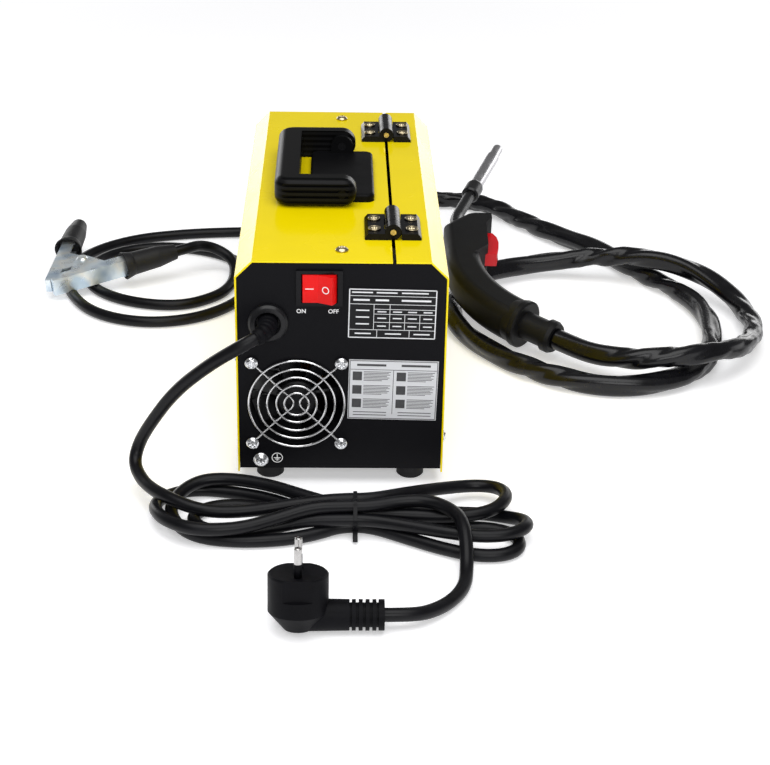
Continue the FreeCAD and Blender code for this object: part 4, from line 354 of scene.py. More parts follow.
def capped(rows, around):
    """Faces of a closed tube of rings: quads between rings, and a fan on the middle point of each end."""
    turn = np.arange(around)
    last = (rows - 1) * around
    middle = np.full(around, rows * around)
    start = np.stack([(turn + 1) % around, turn, middle], axis=1)
    stop = np.stack([last + turn, last + (turn + 1) % around, middle + 1], axis=1)
    return [*grid_faces(rows, around, loop_columns=True)[:, ::-1].tolist(), *start.tolist(), *stop.tolist()]


def unit(way):
    """A vector, or each row of an array of vectors, divided by its length."""
    way = np.asarray(way, float)
    return way / np.linalg.norm(way, axis=-1, keepdims=True)


def even_angles(around):
    """So many angles, a step apart round a circle."""
    return np.arange(around) * math.tau / around


def lathe(profile, at, axis, around, recess):
    """Points of a turned shape: rings of radius r at height h along axis for each (h, r) of profile.

    recess, if given, is a function of the two distances across the axis and is taken off each height.
    """
    axis = unit(axis)
    side = unit(np.cross(axis, (0.0, 0.0, 1.0) if abs(axis[2]) < 0.9 else (0.0, 1.0, 0.0)))
    up = np.cross(axis, side)
    high, radius = np.array(profile, float).T[:, :, None]
    angle = even_angles(around)[None, :]
    over, along = radius * np.cos(angle), radius * np.sin(angle)
    tall = np.broadcast_to(high, over.shape)
    if recess is not None:
        tall = tall - recess(over, along) * (tall > 0)
    ring = np.array(at) + tall[..., None] * axis + over[..., None] * side + along[..., None] * up
    ends = np.array(at) + axis * np.array([[tall[0].mean()], [tall[-1].min()]])
    return np.concatenate([ring.reshape(-1, 3), ends])


def joined(shapes):
    """The points and faces of several shapes as those of one."""
    points, faces, count = [], [], 0
    for made, sides in shapes:
        faces += [[index + count for index in side] for side in sides]
        points.append(made)
        count += len(made)
    return np.concatenate(points), faces


def turned(name, shapes, finish, around, recess=None, **how):
    """One piece of turned shapes, each a profile of (h, r), a place and an axis."""
    made = [(lathe(profile, at, axis, around, recess), capped(len(profile), around)) for profile, at, axis in shapes]
    return solid(name, *joined(made), finish, **how)


plug_up = np.array([0.0, math.sin(PLUG_LEAN), math.cos(PLUG_LEAN)])
plug_back = np.array([0.0, math.cos(PLUG_LEAN), -math.sin(PLUG_LEAN)])
sleeve_radius = PIN_RADIUS + SLEEVE_THICK
sleeve_profile = [(0.0, sleeve_radius), (SLEEVE_LENGTH - 0.0005, sleeve_radius),
                  (SLEEVE_LENGTH, PIN_RADIUS - SLEEVE_THICK)]
pins_at = [PLUG_MIDDLE + plug_up * PLUG_FACE + plug_back * side * PIN_PITCH / 2 for side in (-1, 1)]
pin_sleeves = turned("pin_sleeves", [(sleeve_profile, at, plug_up) for at in pins_at], plug_rubber, 24,
                     slot="black_rubber")

# ---- tie of the hank
# A thin nylon cable tie pulled tight round the waist of the hank, with its ratchet head underneath and
# its tail cut short.
TIE_X = 0.010
TIE_HALF = 0.0013
TIE_THICK = 0.0009
TIE_PLAY = 0.0002
TIE_HEAD = (-0.2405, 0.0035, 0.0048, 0.0038, -50)
TIE_TAIL = (-0.2440, 0.0046, 0.009, 0.0009, 28)
HEAD_LIP = 0.0004
tied_cords = np.array([
    (-0.2335, 0.006), (-0.2245, 0.006), (-0.238, 0.0138), (-0.22, 0.0138), (-0.2335, 0.0216), (-0.2245, 0.0216),
])


def tie_band(x_half, inner, outer, cords, around=72):
    """Loop that hugs the cords: at each angle its point is the furthest cord's middle plus a radius that way."""
    angle = even_angles(around)
    way = np.stack([np.cos(angle), np.sin(angle)], axis=1)
    middle = cords[np.argmax(way @ cords.T, axis=1)]
    rings = [np.column_stack([np.full(around, TIE_X + x), middle + way * far])
             for x, far in ((-x_half, inner), (-x_half, outer), (x_half, outer), (x_half, inner))]
    return np.stack(rings, axis=1).reshape(-1, 3), grid_faces(around, 4, True, True)


tie_nylon = rubber("tie_nylon", (0.003, 0.003, 0.004), rough=0.35, grain=500.0, depth=0.00001, shine=0.14)
tie_inner = LEAD_RADIUS + TIE_PLAY
INK_LOW = -0.00002
INK_HIGH = 0.00008


def bars(rows, low=INK_LOW, high=INK_HIGH):
    """Flat bars (across, up, length, width, degrees): four corners turned about a middle, as thin boxes."""
    across, up, length, width, turn = np.array(rows, float).T[:, :, None]
    a = length / 2 * np.array([-1, 1, 1, -1])
    b = width / 2 * np.array([-1, -1, 1, 1])
    cos, sin = np.cos(np.radians(turn)), np.sin(np.radians(turn))
    flat = np.stack([across + a * cos - b * sin, up + a * sin + b * cos], axis=-1)
    level = np.ones(flat.shape[:2] + (1,))
    boxes = np.concatenate([np.concatenate([flat, level * low], 2), np.concatenate([flat, level * high], 2)], axis=1)
    box = np.array([(0, 3, 2, 1), (4, 5, 6, 7), (0, 1, 5, 4), (1, 2, 6, 5), (2, 3, 7, 6), (3, 0, 4, 7)])
    faces = (np.arange(len(rows)) * 8)[:, None, None] + box[None]
    return boxes.reshape(-1, 3), faces.reshape(-1, 4)


tie_ends, tie_end_faces = bars([TIE_HEAD, TIE_TAIL], -TIE_HALF - HEAD_LIP, TIE_HALF + HEAD_LIP)
tie_shapes = [tie_band(TIE_HALF, tie_inner, tie_inner + TIE_THICK, tied_cords),
              (tie_ends[:, [2, 0, 1]] + (TIE_X, 0.0, 0.0), tie_end_faces)]
cable_tie = solid("hank_tie", *joined(tie_shapes), tie_nylon, slot="black_plastic", smooth=False,
                  stands_for=("cable_tie",))

# ---- earth cable and its plug
# Single-core welding cable in soft black rubber, two easy turns on the floor from its twist-in plug on
# the front panel to the earth clamp.
EARTH_RADIUS = 0.00475
earth_cable_points = [
    (-0.14744, 0.20621, 0.02654), (-0.13496, 0.21238, 0.02806), (-0.127, 0.2235, 0.026), (-0.1153, 0.229, 0.022),
    (-0.1026, 0.2265, 0.016), (-0.0954, 0.217, 0.011), (-0.0946, 0.203, 0.0066), (-0.0966, 0.182, 0.00485),
    (-0.107, 0.157, 0.00485), (-0.138, 0.134, 0.00485), (-0.184, 0.143, 0.00485), (-0.218, 0.172, 0.00485),
    (-0.229, 0.212, 0.00485), (-0.214, 0.252, 0.00485), (-0.176, 0.273, 0.00485), (-0.13, 0.268, 0.00485),
    (-0.092, 0.24, 0.00485), (-0.08, 0.196, 0.00485), (-0.084, 0.15, 0.00485), (-0.118, 0.11, 0.00485),
    (-0.164, 0.098, 0.00485), (-0.208, 0.116, 0.00485), (-0.234, 0.156, 0.00485), (-0.246, 0.206, 0.00485),
    (-0.233, 0.254, 0.00485), (-0.196, 0.29, 0.00485), (-0.146, 0.306, 0.00485), (-0.095, 0.312, 0.00485),
    (-0.06, 0.302, 0.009), (-0.045, 0.276, 0.024), (-0.044, 0.252, 0.038), (-0.044, 0.2271, 0.038),
]
earth_cable = route("earth_lead", earth_cable_points[::-1], EARTH_RADIUS)
cord_rubber.on(earth_cable)
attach(earth_cable, "machine")
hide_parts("earth_cable")
plug_rubber.on("earth_plug")

# ---- torch hose
# Coaxial torch hose for wire, gas, current and trigger leads inside a loose glossy black sleeve, which
# creases and gathers wherever the hose bends.
HOSE_RADIUS = 0.009
torch_hose_points = [
    (0.033, 0.2126, 0.0804), (0.033, 0.254, 0.0804), (0.0335, 0.301, 0.063), (0.04, 0.345, 0.036),
    (0.06, 0.382, 0.014), (0.1, 0.399, 0.0093), (0.144, 0.384, 0.0093), (0.172, 0.344, 0.0093),
    (0.204, 0.3, 0.0093), (0.243, 0.262, 0.0093), (0.266, 0.214, 0.0093), (0.296, 0.172, 0.0093),
    (0.314, 0.124, 0.0093), (0.309, 0.066, 0.0093), (0.292, 0.01, 0.0093), (0.25, -0.022, 0.0093),
    (0.196, -0.024, 0.0093), (0.144, 0.01, 0.0093), (0.106, 0.062, 0.0093), (0.091, 0.124, 0.0094),
    (0.112, 0.182, 0.0136), (0.162, 0.216, 0.013), (0.22, 0.215, 0.021), (0.273, 0.198, 0.03),
    (0.318, 0.172, 0.025), (0.347, 0.126, 0.012), (0.346, 0.069, 0.012), (0.322, 0.018, 0.024),
    (0.282, -0.009, 0.03), (0.241, -0.008, 0.025), (0.20371, 0.0103, 0.01804), (0.17389, 0.0367, 0.02175),
]


def mesh_of(holder):
    """The mesh that a curve or a text comes to, in place of its object."""
    bpy.context.view_layer.update()
    mesh = bpy.data.meshes.new_from_object(holder.evaluated_get(bpy.context.evaluated_depsgraph_get()))
    bpy.data.objects.remove(holder)
    return mesh


def read_line(curve):
    """The points along a curve that has no bevel, as an array."""
    mesh = mesh_of(curve)
    line = np.empty(len(mesh.vertices) * 3)
    mesh.vertices.foreach_get("co", line)
    return line.reshape(-1, 3)


def frames(line):
    """At each point of a line, two unit vectors across it that turn as little as the line does."""
    way = unit(np.gradient(line, axis=0))
    side = np.empty_like(line)
    side[0] = unit(np.cross(way[0], (0.0, 0.0, 1.0)))
    for i in range(1, len(line)):
        side[i] = unit(side[i - 1] - way[i] * (side[i - 1] @ way[i]))
    return side, np.cross(way, side)


def swept(name, line, radius, around, finish, **how):
    """A tube about line: its point at (i, angle) is line[i] plus radius[i, angle] along that angle's spoke."""
    side, up = frames(line)
    angle = even_angles(around)
    spokes = side[:, None] * np.cos(angle)[None, :, None] + up[:, None] * np.sin(angle)[None, :, None]
    ring = line[:, None] + spokes * np.broadcast_to(radius, (len(line), around))[..., None]
    points = np.concatenate([ring.reshape(-1, 3), line[:1], line[-1:]])
    return solid(name, points, capped(len(line), around), finish, **how)


def along_line(line):
    """Distance along a line at each of its points."""
    return np.concatenate([[0.0], np.cumsum(np.linalg.norm(np.diff(line, axis=0), axis=1))])


def even_steps(line, step):
    """The line again, with its points a step apart."""
    far = along_line(line)
    here = np.linspace(0, far[-1], int(far[-1] / step) + 1)
    return np.stack([np.interp(here, far, line[:, i]) for i in range(3)], axis=1)


sleeve_gloss = rubber("sleeve_gloss", (0.0025, 0.0025, 0.0035), rough=0.24, grain=1200.0, depth=0.00002, shine=0.34)
HOSE_STEP = 0.0022
HOSE_AROUND = 24
HOLLOW_DEPTH = 0.0022
FOLD_DEPTH = 0.0014
CREASE_DEPTH = 0.0006
END_TIGHT = 0.0004
END_RUN = 0.03
hose_line = read_line(route("hose_line", torch_hose_points, 0.0, turns=30))
hose_path = even_steps(hose_line, HOSE_STEP)
hose_at = along_line(hose_path)[:, None]
hose_angle = even_angles(HOSE_AROUND)[None, :]
# Each is 1 less the size of a sine, so deepest where the sine is 0: three long hollows wind along the hose
# and, where it gathers, folds and finer creases cross them. They fade out within END_RUN of each end.
hollow = 1 - np.abs(np.sin(hose_angle * 1.5 + hose_at * 31 + 1.9 * np.sin(hose_at * 37)))
gather = np.maximum(0.0, np.sin(hose_at * 27 + 1.4 * np.sin(hose_at * 11) + 0.6))
fold = 1 - np.abs(np.sin(hose_at * 74 + 1.7 * np.sin(hose_angle + hose_at * 23) + 0.8 * np.sin(hose_at * 41)))
crease = 1 - np.abs(np.sin(hose_at * 190 + 2.4 * np.cos(hose_angle * 2 + hose_at * 29)))
dent = HOLLOW_DEPTH * hollow + (FOLD_DEPTH * fold + CREASE_DEPTH * crease) * gather
ease = np.minimum(1.0, np.minimum(hose_at, hose_at[-1] - hose_at) / END_RUN)
hose_radius = HOSE_RADIUS - END_TIGHT - (dent - END_TIGHT) * ease
torch_hose = swept("torch_hose_sleeve", hose_path, hose_radius, HOSE_AROUND, sleeve_gloss, slot="black_rubber",
                   stands_for=("torch_hose",))

# ---- floor tray, inner wall and feet
# The tray and the wall between the electronics and the wire bay are bent from sheet: the tray is
# powder-coated black, the wall is bare galvanised. Four moulded rubber feet are screwed underneath.
def powder_coat(name, colour, rough, grain=900.0, depth=0.00003, shine=0.3, coat=0.0):
    """Baked powder: fine pebbles in the film, a little unevenness in the gloss and faint handling marks."""
    paint = Finish(name, Coat_Weight=coat, Coat_Roughness=0.1, Specular_IOR_Level=shine)
    cloud = paint.noise(9.0, 4.0, 0.6)
    paint.set(Base_Color=paint.blend(paint.ramp(cloud, 0.3, 0.7), tuple(part * 0.94 for part in colour), colour),
              Roughness=paint.ramp(cloud, 0.25, 0.75, rough - 0.05, rough + 0.06))
    paint.bump(paint.noise(grain, 2.0, 0.4), depth)
    return paint


black_coat = powder_coat("black_powder_coat", (0.0042, 0.0042, 0.0055), rough=0.45, depth=0.00005, shine=0.09)
black_coat.on("chassis_tray")

galvanised = Finish("galvanised_sheet", Metallic=0.9)
spangle = galvanised.node("ShaderNodeTexVoronoi", {}, {"Vector": galvanised.place(), "Scale": 90.0}, 1)
galvanised.set(Base_Color=galvanised.blend(galvanised.noise(40.0), (0.42, 0.43, 0.45), (0.60, 0.61, 0.63)),
               Roughness=galvanised.ramp(spangle, 0.0, 1.0, 0.32, 0.5))
galvanised.on("divider_wall")
rubber("foot_rubber", (0.008, 0.008, 0.009), rough=0.6, grain=1400.0, depth=0.00004, shine=0.25).on("feet")

# ---- power electronics
# A green circuit board on edge carries sleeved capacitors and two extruded aluminium heat sinks. The
# transformer and the toroidal choke, wound in enamelled copper, stand on the tray.
def moulded(name, colour, rough, depth=0.00003, shine=0.25):
    """Injection-moulded plastic: fine spark-eroded grain, and slightly glossier where it has been touched, where the
    colour is also made lighter as a painted sheen.
    """
    plastic = Finish(name, Specular_IOR_Level=shine)
    touch_and_sheen = plastic.noise(24.0, 3.0, 0.55)
    # The colour is lighter on the touched patches as a painted sheen, beside the real lower roughness there.
    plastic.set(Base_Color=plastic.blend(plastic.ramp(touch_and_sheen, 0.3, 0.8), colour, tuple(part * 1.3 for part in colour)),
                Roughness=plastic.ramp(touch_and_sheen, 0.25, 0.75, rough + 0.06, rough - 0.06))
    plastic.bump(plastic.noise(1100.0, 2.0, 0.5), depth)
    return plastic


BOARD_THICK = 0.0016
SLEEVE_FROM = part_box("power_board")[0][0] + BOARD_THICK + 0.0002
board_green = Finish("board_green", Roughness=0.35)
tracks = board_green.noise(160.0, 1.0, 0.5, board_green.place((1.0, 1.0, 0.25)))
board_colour = board_green.blend(board_green.ramp(tracks, 0.49, 0.52), (0.012, 0.085, 0.035), (0.03, 0.16, 0.07))
sleeved = board_green.axis("X") > SLEEVE_FROM
board_green.set(Base_Color=board_green.blend(sleeved, board_colour, (0.012, 0.014, 0.03)))
board_green.on("power_board")
metal("extruded_aluminium", (0.62, 0.62, 0.63), rough=0.4, brushed=(1.0, 0.05, 1.0)).on("heat_sinks")
enamelled_copper = Finish("enamelled_copper", Metallic=0.85)
turns = enamelled_copper.node("ShaderNodeTexWave", {"bands_direction": "Y"},
                              {"Vector": enamelled_copper.place(), "Scale": 130.0, "Distortion": 0.6})
# The copper is darker in the low bands of the wave, which the bump sinks between the turns: painted shade in the
# grooves.
enamelled_copper.set(Base_Color=enamelled_copper.blend(turns, (0.26, 0.09, 0.035), (0.62, 0.27, 0.11)),
                     Roughness=enamelled_copper.ramp(turns, 0.0, 1.0, 0.45, 0.28))
enamelled_copper.bump(turns, 0.0003)
enamelled_copper.on("transformer_and_choke")

# ---- wire feeder and spool
# A die-cast frame holds the knurled drive roll, and a sprung arm presses the second roll on the wire.
# The plastic spool of copper-coated wire turns on a nylon hub and is kept there by a wing nut.
metal("cast_aluminium", (0.55, 0.55, 0.56), rough=0.45, grain=90.0, depth=0.00006).on("feeder_frame", "pressure_arm")
metal("machined_steel", (0.56, 0.55, 0.54), rough=0.25, brushed=(0.05, 1.0, 1.0), grain=400.0).on(
    "drive_roll", "pressure_roll")
metal("motor_can", (0.40, 0.40, 0.42), rough=0.35, brushed=(0.05, 1.0, 1.0)).on("feed_motor")
spring_zinc = metal("spring_zinc", (0.62, 0.62, 0.63), rough=0.26, brushed=(1.0, 1.0, 0.05), grain=300.0)
spring_zinc.on("tension_screw")
moulded("spool_plastic", (0.010, 0.010, 0.011), rough=0.4).on("wire_spool", "spool_hub", "spool_nut")
wound_wire = Finish("wound_wire", Metallic=1.0)
lay = wound_wire.node("ShaderNodeTexWave", {"bands_direction": "X"},
                      {"Vector": wound_wire.place(), "Scale": 200.0, "Distortion": 0.3})
# The wire is darker in the low bands of the wave, which the bump sinks between the turns: painted shade in the grooves.
wound_wire.set(Base_Color=wound_wire.blend(lay, (0.34, 0.14, 0.07), (0.78, 0.40, 0.22)),
               Roughness=wound_wire.ramp(lay, 0.0, 1.0, 0.42, 0.24))
wound_wire.bump(lay, 0.0004)
wound_wire.on("welding_wire")

# ---- end panels
# Both end panels are pressed from steel sheet with a rim folded inward, which the covers are screwed to,
# and powder-coated satin black.
black_coat.on("rear_panel", "front_panel")

# ---- covers and side door
# The cover over the top and the left side, the strip under the door and the door itself are bent from
# 1.2 mm steel sheet and finished in one glossy yellow baked paint.
yellow_paint = powder_coat("yellow_baked_paint", (0.93, 0.73, 0.0), rough=0.26, grain=600.0, depth=0.00001,
                           shine=0.05, coat=0.4)
yellow_paint.on("main_cover", "lower_side_sheet", "side_door")

# ---- case screws
# Bright zinc-plated pan heads with a cross recess hold the sides of the covers, the fan with its guard and
# the earth wire, this one over a washer. Those on top, and the flatter ones in the hinges, are yellow zinc.
zinc_bright = metal("bright_zinc", (0.74, 0.75, 0.77), rough=0.2, grain=500.0)
HEAD = 0.0045
HEAD_HIGH = 0.0029
SHANK = 0.002
HEAD_AROUND = 36
RECESS_DEPTH = 0.0014
RECESS_HALF_WIDE = (0.0005, 0.0009)
RECESS_HALF_LONG = (0.0019, 0.0026)


def cross_recess(over, along):
    """Depth of a cross recess: t t (3 - 2 t), where t falls from 1 to 0 over the soft edge of each arm."""
    def soft(distance, inner, outer):
        t = np.clip((outer - np.abs(distance)) / (outer - inner), 0, 1)
        return t * t * (3 - 2 * t)
    arms = [soft(a, *RECESS_HALF_WIDE) * soft(b, *RECESS_HALF_LONG) for a, b in ((over, along), (along, over))]
    return RECESS_DEPTH * np.maximum(*arms)


def pan_head(length, high=HEAD_HIGH, radius=HEAD):
    """Profile of a screw from the end of its shank up over a domed head: dome height falls off as (r/R) cubed."""
    rings = radius * np.array([1.0, 0.97, 0.88, 0.76, 0.66, 0.57, 0.5, 0.43, 0.36, 0.29, 0.22, 0.16, 0.1, 0.04])
    dome = high * (0.35 + 0.65 * (1 - (rings / radius) ** 3))
    return [(-length, SHANK), (0.0, SHANK), (0.0, radius), *zip(dome.tolist(), rings.tolist())]


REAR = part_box("rear_panel")[0][1]
COVER_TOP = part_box("main_cover")[1][2]
COVER_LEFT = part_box("main_cover")[0][0]
COVER_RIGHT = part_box("side_door")[1][0]
FAN_AT = (-0.0305, 0.0639)
FAN_PITCH = 0.03075
GUARD_WIRE = 0.0008
TOP_SCREW_Y = 0.1457
SIDE_SCREW_Y = 0.1511
LEFT_SCREW_Z = 0.0933
RIGHT_SCREW_Z = 0.03125
EARTH_AT = (-0.0557, 0.0194)
WASHER_HIGH = 0.0011
WASHER_RADIUS = 0.0052
fan_corners = [(FAN_AT[0] + a * FAN_PITCH, FAN_AT[1] + b * FAN_PITCH) for a in (-1, 1) for b in (-1, 1)]
panel_screws = [(pan_head(length=0.0295), (x, REAR - 2 * GUARD_WIRE, z), (0, -1, 0)) for x, z in fan_corners]
for end in (-1, 1):
    panel_screws.append((pan_head(length=0.005), (COVER_LEFT, end * SIDE_SCREW_Y, LEFT_SCREW_Z), (-1, 0, 0)))
    panel_screws.append((pan_head(length=0.008), (COVER_RIGHT, end * SIDE_SCREW_Y, RIGHT_SCREW_Z), (1, 0, 0)))
earth_stud = [(-0.010, SHANK), (0.0, SHANK), (0.0, WASHER_RADIUS), (WASHER_HIGH, WASHER_RADIUS), (WASHER_HIGH, HEAD),
              *((high + WASHER_HIGH, radius) for high, radius in pan_head(length=0.0)[3:])]
panel_screws.append((earth_stud, (EARTH_AT[0], REAR, EARTH_AT[1]), (0, -1, 0)))
turned("cross_head_screws", panel_screws, zinc_bright, HEAD_AROUND, cross_recess, slot="bare_steel",
       stands_for=("case_screws",))

HINGE_X = 0.0352
HINGE_Y = 0.1065
LEAF_TOP = COVER_TOP + 0.0046
LEAF_OUT = 0.01287
LEAF_ROW = 0.00975
yellow_zinc = metal("yellow_zinc", (0.52, 0.44, 0.28), rough=0.22, grain=500.0)
top_screws = [(pan_head(length=0.008), (0.0, end * TOP_SCREW_Y, COVER_TOP), (0, 0, 1)) for end in (-1, 1)]
leaf_head = [(-0.0088, SHANK), (0.0, SHANK), (0.0, HEAD), (0.0008, HEAD), (0.0011, 0.0043), (0.0011, 0.004),
             (0.0007, 0.0036), *((0.0006, tenth / 10000) for tenth in range(33, 0, -3))]
cover_leaf_screws, door_leaf_screws = (
    [(leaf_head, (HINGE_X + side * LEAF_OUT, end * HINGE_Y + row * LEAF_ROW, LEAF_TOP), (0, 0, 1))
     for end in (-1, 1) for row in (-1, 1)] for side in (-1, 1))
turned("cover_top_screws", top_screws, yellow_zinc, HEAD_AROUND, cross_recess, slot="bare_steel")
turned("cover_leaf_screws", cover_leaf_screws, yellow_zinc, HEAD_AROUND, cross_recess, slot="bare_steel")
turned("door_leaf_screws", door_leaf_screws, yellow_zinc, HEAD_AROUND, cross_recess, body="door", slot="bare_steel",
       stands_for=("hinge_screws_door",))

# ---- hinges and latch of the door
# Two hinges of glass-filled nylon with wide bevelled leaves turn on brass pins; the pins of the carrying
# handle are black. A quarter-turn latch of the same plastic keeps the door shut.
moulded("hinge_nylon", (0.003, 0.003, 0.004), rough=0.26, shine=0.12).on(
    "hinge_fixed_leaves", "hinge_moving_leaves", "door_latch")
HINGE_SIDE = 0.02
pin_mix = Finish("brass_and_black_pins", Specular_IOR_Level=0.2)
in_hinge = pin_mix.axis("X") > HINGE_SIDE
pin_mix.set(Base_Color=pin_mix.blend(in_hinge, (0.005, 0.005, 0.006), (0.72, 0.56, 0.26)), Metallic=in_hinge,
            Roughness=pin_mix.ramp(pin_mix.noise(200.0), 0.3, 0.7, 0.26, 0.38))
pin_mix.on("pivot_pins")

# ---- carrying handle
# A flat foot moulded with two bearing lugs, and a swinging grip with grooves across its arms, both of matt
# black glass-filled nylon. The grooves, a pitch apart up from their foot, are painted darker than the ribs as painted
# shade.
moulded("handle_nylon", (0.003, 0.003, 0.0035), rough=0.4, depth=0.00004, shine=0.07).on("handle_base")
GROOVE_PITCH = 0.0042
GROOVE_FOOT = 0.1730
bail_nylon = Finish("bail_nylon", Roughness=0.36, Specular_IOR_Level=0.09)
groove_wave = bail_nylon.math("SINE", (bail_nylon.axis("Z") - GROOVE_FOOT) * (math.tau / GROOVE_PITCH))
rib = bail_nylon.ramp(groove_wave, -0.2, 0.25, 1.0, 0.0)
# The grooves get a tenth of the ribs' colour: painted shade in the grooves.
bail_nylon.set(Base_Color=bail_nylon.blend(rib, (0.0006, 0.0006, 0.0008), (0.006, 0.006, 0.0065)))
bail_nylon.on("handle_bail")

# ---- printing on the panels
# The switch positions and the earth sign are screen-printed in white ink. Here each is a film 0.08 mm thick,
# with only the plain words ON and OFF and the usual sign for protective earth.
INK_SPREAD = 0.00005
white_ink = Finish("white_ink", Roughness=0.5)
white_ink.set(Base_Color=white_ink.blend(white_ink.noise(700.0), (0.88, 0.88, 0.88), (0.97, 0.97, 0.97)))


def circle_mark(outer, inner, at=0.0, around=40):
    """Flat ring about the point (at, 0): its section, a thin box between two radii, is carried round a circle."""
    angle = even_angles(around)
    corners = [(inner, INK_LOW), (outer, INK_LOW), (outer, INK_HIGH), (inner, INK_HIGH)]
    ring = [np.stack([at + radius * np.cos(angle), radius * np.sin(angle), np.full(around, high)], axis=1)
            for radius, high in corners]
    return np.stack(ring, axis=1).reshape(-1, 3), grid_faces(around, 4, True, True)


def word(text, size):
    """The letters of a word about their middle, as thick as the film of ink."""
    letters = bpy.data.curves.new("letters", "FONT")
    letters.body, letters.size, letters.align_x, letters.align_y = text, size, "CENTER", "CENTER"
    letters.extrude = INK_HIGH / 2
    letters.offset = INK_SPREAD
    shape = bmesh.new()
    shape.from_mesh(mesh_of(new_object("letters", letters)))
    bmesh.ops.remove_doubles(shape, verts=shape.verts, dist=0.000002)
    points = np.array([vertex.co[:] for vertex in shape.verts]) + (0.0, 0.0, INK_HIGH / 2)
    faces = [[vertex.index for vertex in face.verts] for face in shape.faces]
    shape.free()
    return points, faces


TO_REAR = ((1, 0, 0), (0, 0, 1))
TO_FRONT = ((-1, 0, 0), (0, 0, 1))


def printed(name, shapes, at, face, finish=white_ink, body="machine"):
    """Joins flat shapes drawn in (across, up, out) and lays them at a point of a face, given as across and up."""
    across, up = np.array(face, float)
    turned_to = np.stack([across, up, np.cross(across, up)])
    laid = [(np.array(at) + made @ turned_to, faces) for made, faces in shapes]
    return solid(name, *joined(laid), finish, body=body, slot="plate", smooth=False)


SWITCH_X = -0.01485
SWITCH_Z = 0.1502
LETTER_HIGH = 0.0041
WORD_Z = SWITCH_Z - 0.0174
printed("mark_on", [word("ON", LETTER_HIGH)], (SWITCH_X - 0.0123, REAR, WORD_Z), TO_REAR)
printed("mark_off", [word("OFF", LETTER_HIGH)], (SWITCH_X + 0.0094, REAR, WORD_Z), TO_REAR)
printed("earth_sign", [circle_mark(0.0039, 0.0034), bars([
    (0, 0.0014, 0.0006, 0.0028, 0), (0, -0.0001, 0.0048, 0.00055, 0), (0, -0.0011, 0.0030, 0.0005, 0),
    (0, -0.0020, 0.0013, 0.0005, 0)])], (EARTH_AT[0] + 0.0114, REAR, EARTH_AT[1] + 0.0012), TO_REAR)

# ---- power switch
# A snap-in rocker switch: glossy black frame, glossy red rocker that rocks on a cross axle, with the dash
# and the circle moulded in white on its two faces.
moulded("switch_black", (0.004, 0.004, 0.005), rough=0.2, depth=0.00001, shine=0.14).on("rocker_housing")
moulded("switch_red", (0.60, 0.004, 0.004), rough=0.14, depth=0.000005, shine=0.16).on("rocker_button")
ROCKER_Y = REAR + 0.0015
ROCKER_FACE = 0.0041
ROCKER_TILT = math.radians(13.0)
# The dash lies on the half that is pressed in; the circle's half leans twice the tilt the other way.
mark_start = np.array([-math.sin(ROCKER_TILT), -math.cos(ROCKER_TILT), 0.0]) * ROCKER_FACE
for name, side, turn, shape in (
        ("dash_mark", -1, 0.0, bars([(0.0058, 0, 0.0056, 0.0006, 0)])),
        ("ring_mark", 1, -2 * ROCKER_TILT, circle_mark(0.0026, 0.0020, at=0.0056))):
    points, faces = shape
    printed(name, [(points * (side, 1, 1), faces[:, ::side])], mark_start + (SWITCH_X, ROCKER_Y, SWITCH_Z),
            ((math.cos(turn), math.sin(turn), 0), (0, 0, 1)), body="rocker")

# ---- gland and strain relief of the mains lead
# A black nylon gland snapped into the panel. Out of its mouth comes the lead's ribbed rubber sleeve,
# which tapers down to the lead over 26 mm so that it can't bend sharply at the panel.
gland_nylon = moulded("gland_nylon", (0.006, 0.006, 0.007), rough=0.36, shine=0.3)
gland_nylon.on("cable_gland")
RELIEF_LENGTH = 0.026
RELIEF_STEP = 0.0005
RELIEF_MOUTH = 0.0072
RELIEF_END = 0.0054
RIDGE_PITCH = 0.0042
RIDGE_HIGH = 0.0002
relief_line = even_steps(read_line(route("relief_line", mains_lead_points[:9], 0.0, turns=30)), RELIEF_STEP)
relief_at = along_line(relief_line)
relief_line, relief_at = relief_line[relief_at < RELIEF_LENGTH], relief_at[relief_at < RELIEF_LENGTH]
taper = relief_at / RELIEF_LENGTH
ridge = np.clip(np.sin(relief_at * math.tau / RIDGE_PITCH) * 4, -1, 1) * (taper > 0.12) * (taper < 0.93)
relief_radius = RELIEF_MOUTH - (RELIEF_MOUTH - RELIEF_END) * taper + RIDGE_HIGH * ridge
swept("lead_relief", relief_line, relief_radius[:, None], 28, plug_rubber, slot="black_rubber")

# ---- fan
# A seven-bladed axial fan of black plastic behind the panel, under a finger guard of chromed wire rings
# welded on two bent stays.
moulded("fan_plastic", (0.006, 0.006, 0.007), rough=0.35).on("fan_frame", "fan_rotor")
chrome_wire = metal("chrome_wire", (0.82, 0.82, 0.83), rough=0.1, depth=0.000003)
STAY_Y = REAR - GUARD_WIRE
RING_Y = STAY_Y - GUARD_WIRE * 1.8
GUARD_RINGS = (0.0330, 0.0265, 0.0204, 0.0140, 0.0085)
EYE_RADIUS = 0.0031
STAY_END = FAN_PITCH - EYE_RADIUS * 0.72
STAY_STEP = 0.0008


def hoops(rings, wire, around=72, section=10):
    """Rings of wire (radius, middle): points wide of the middle by radius + wire cos(b), high by wire sin(b)."""
    turn = even_angles(around)[:, None]
    tube = even_angles(section)[None, :]
    faces = grid_faces(around, section, True, True)[:, ::-1]
    shapes = []
    for radius, middle in rings:
        far = radius + wire * np.cos(tube)
        deep = np.broadcast_to(wire * np.sin(tube), (around, section))
        ring = np.stack([far * np.cos(turn), deep, far * np.sin(turn)], axis=-1) + middle
        shapes.append((ring.reshape(-1, 3), faces))
    return joined(shapes)


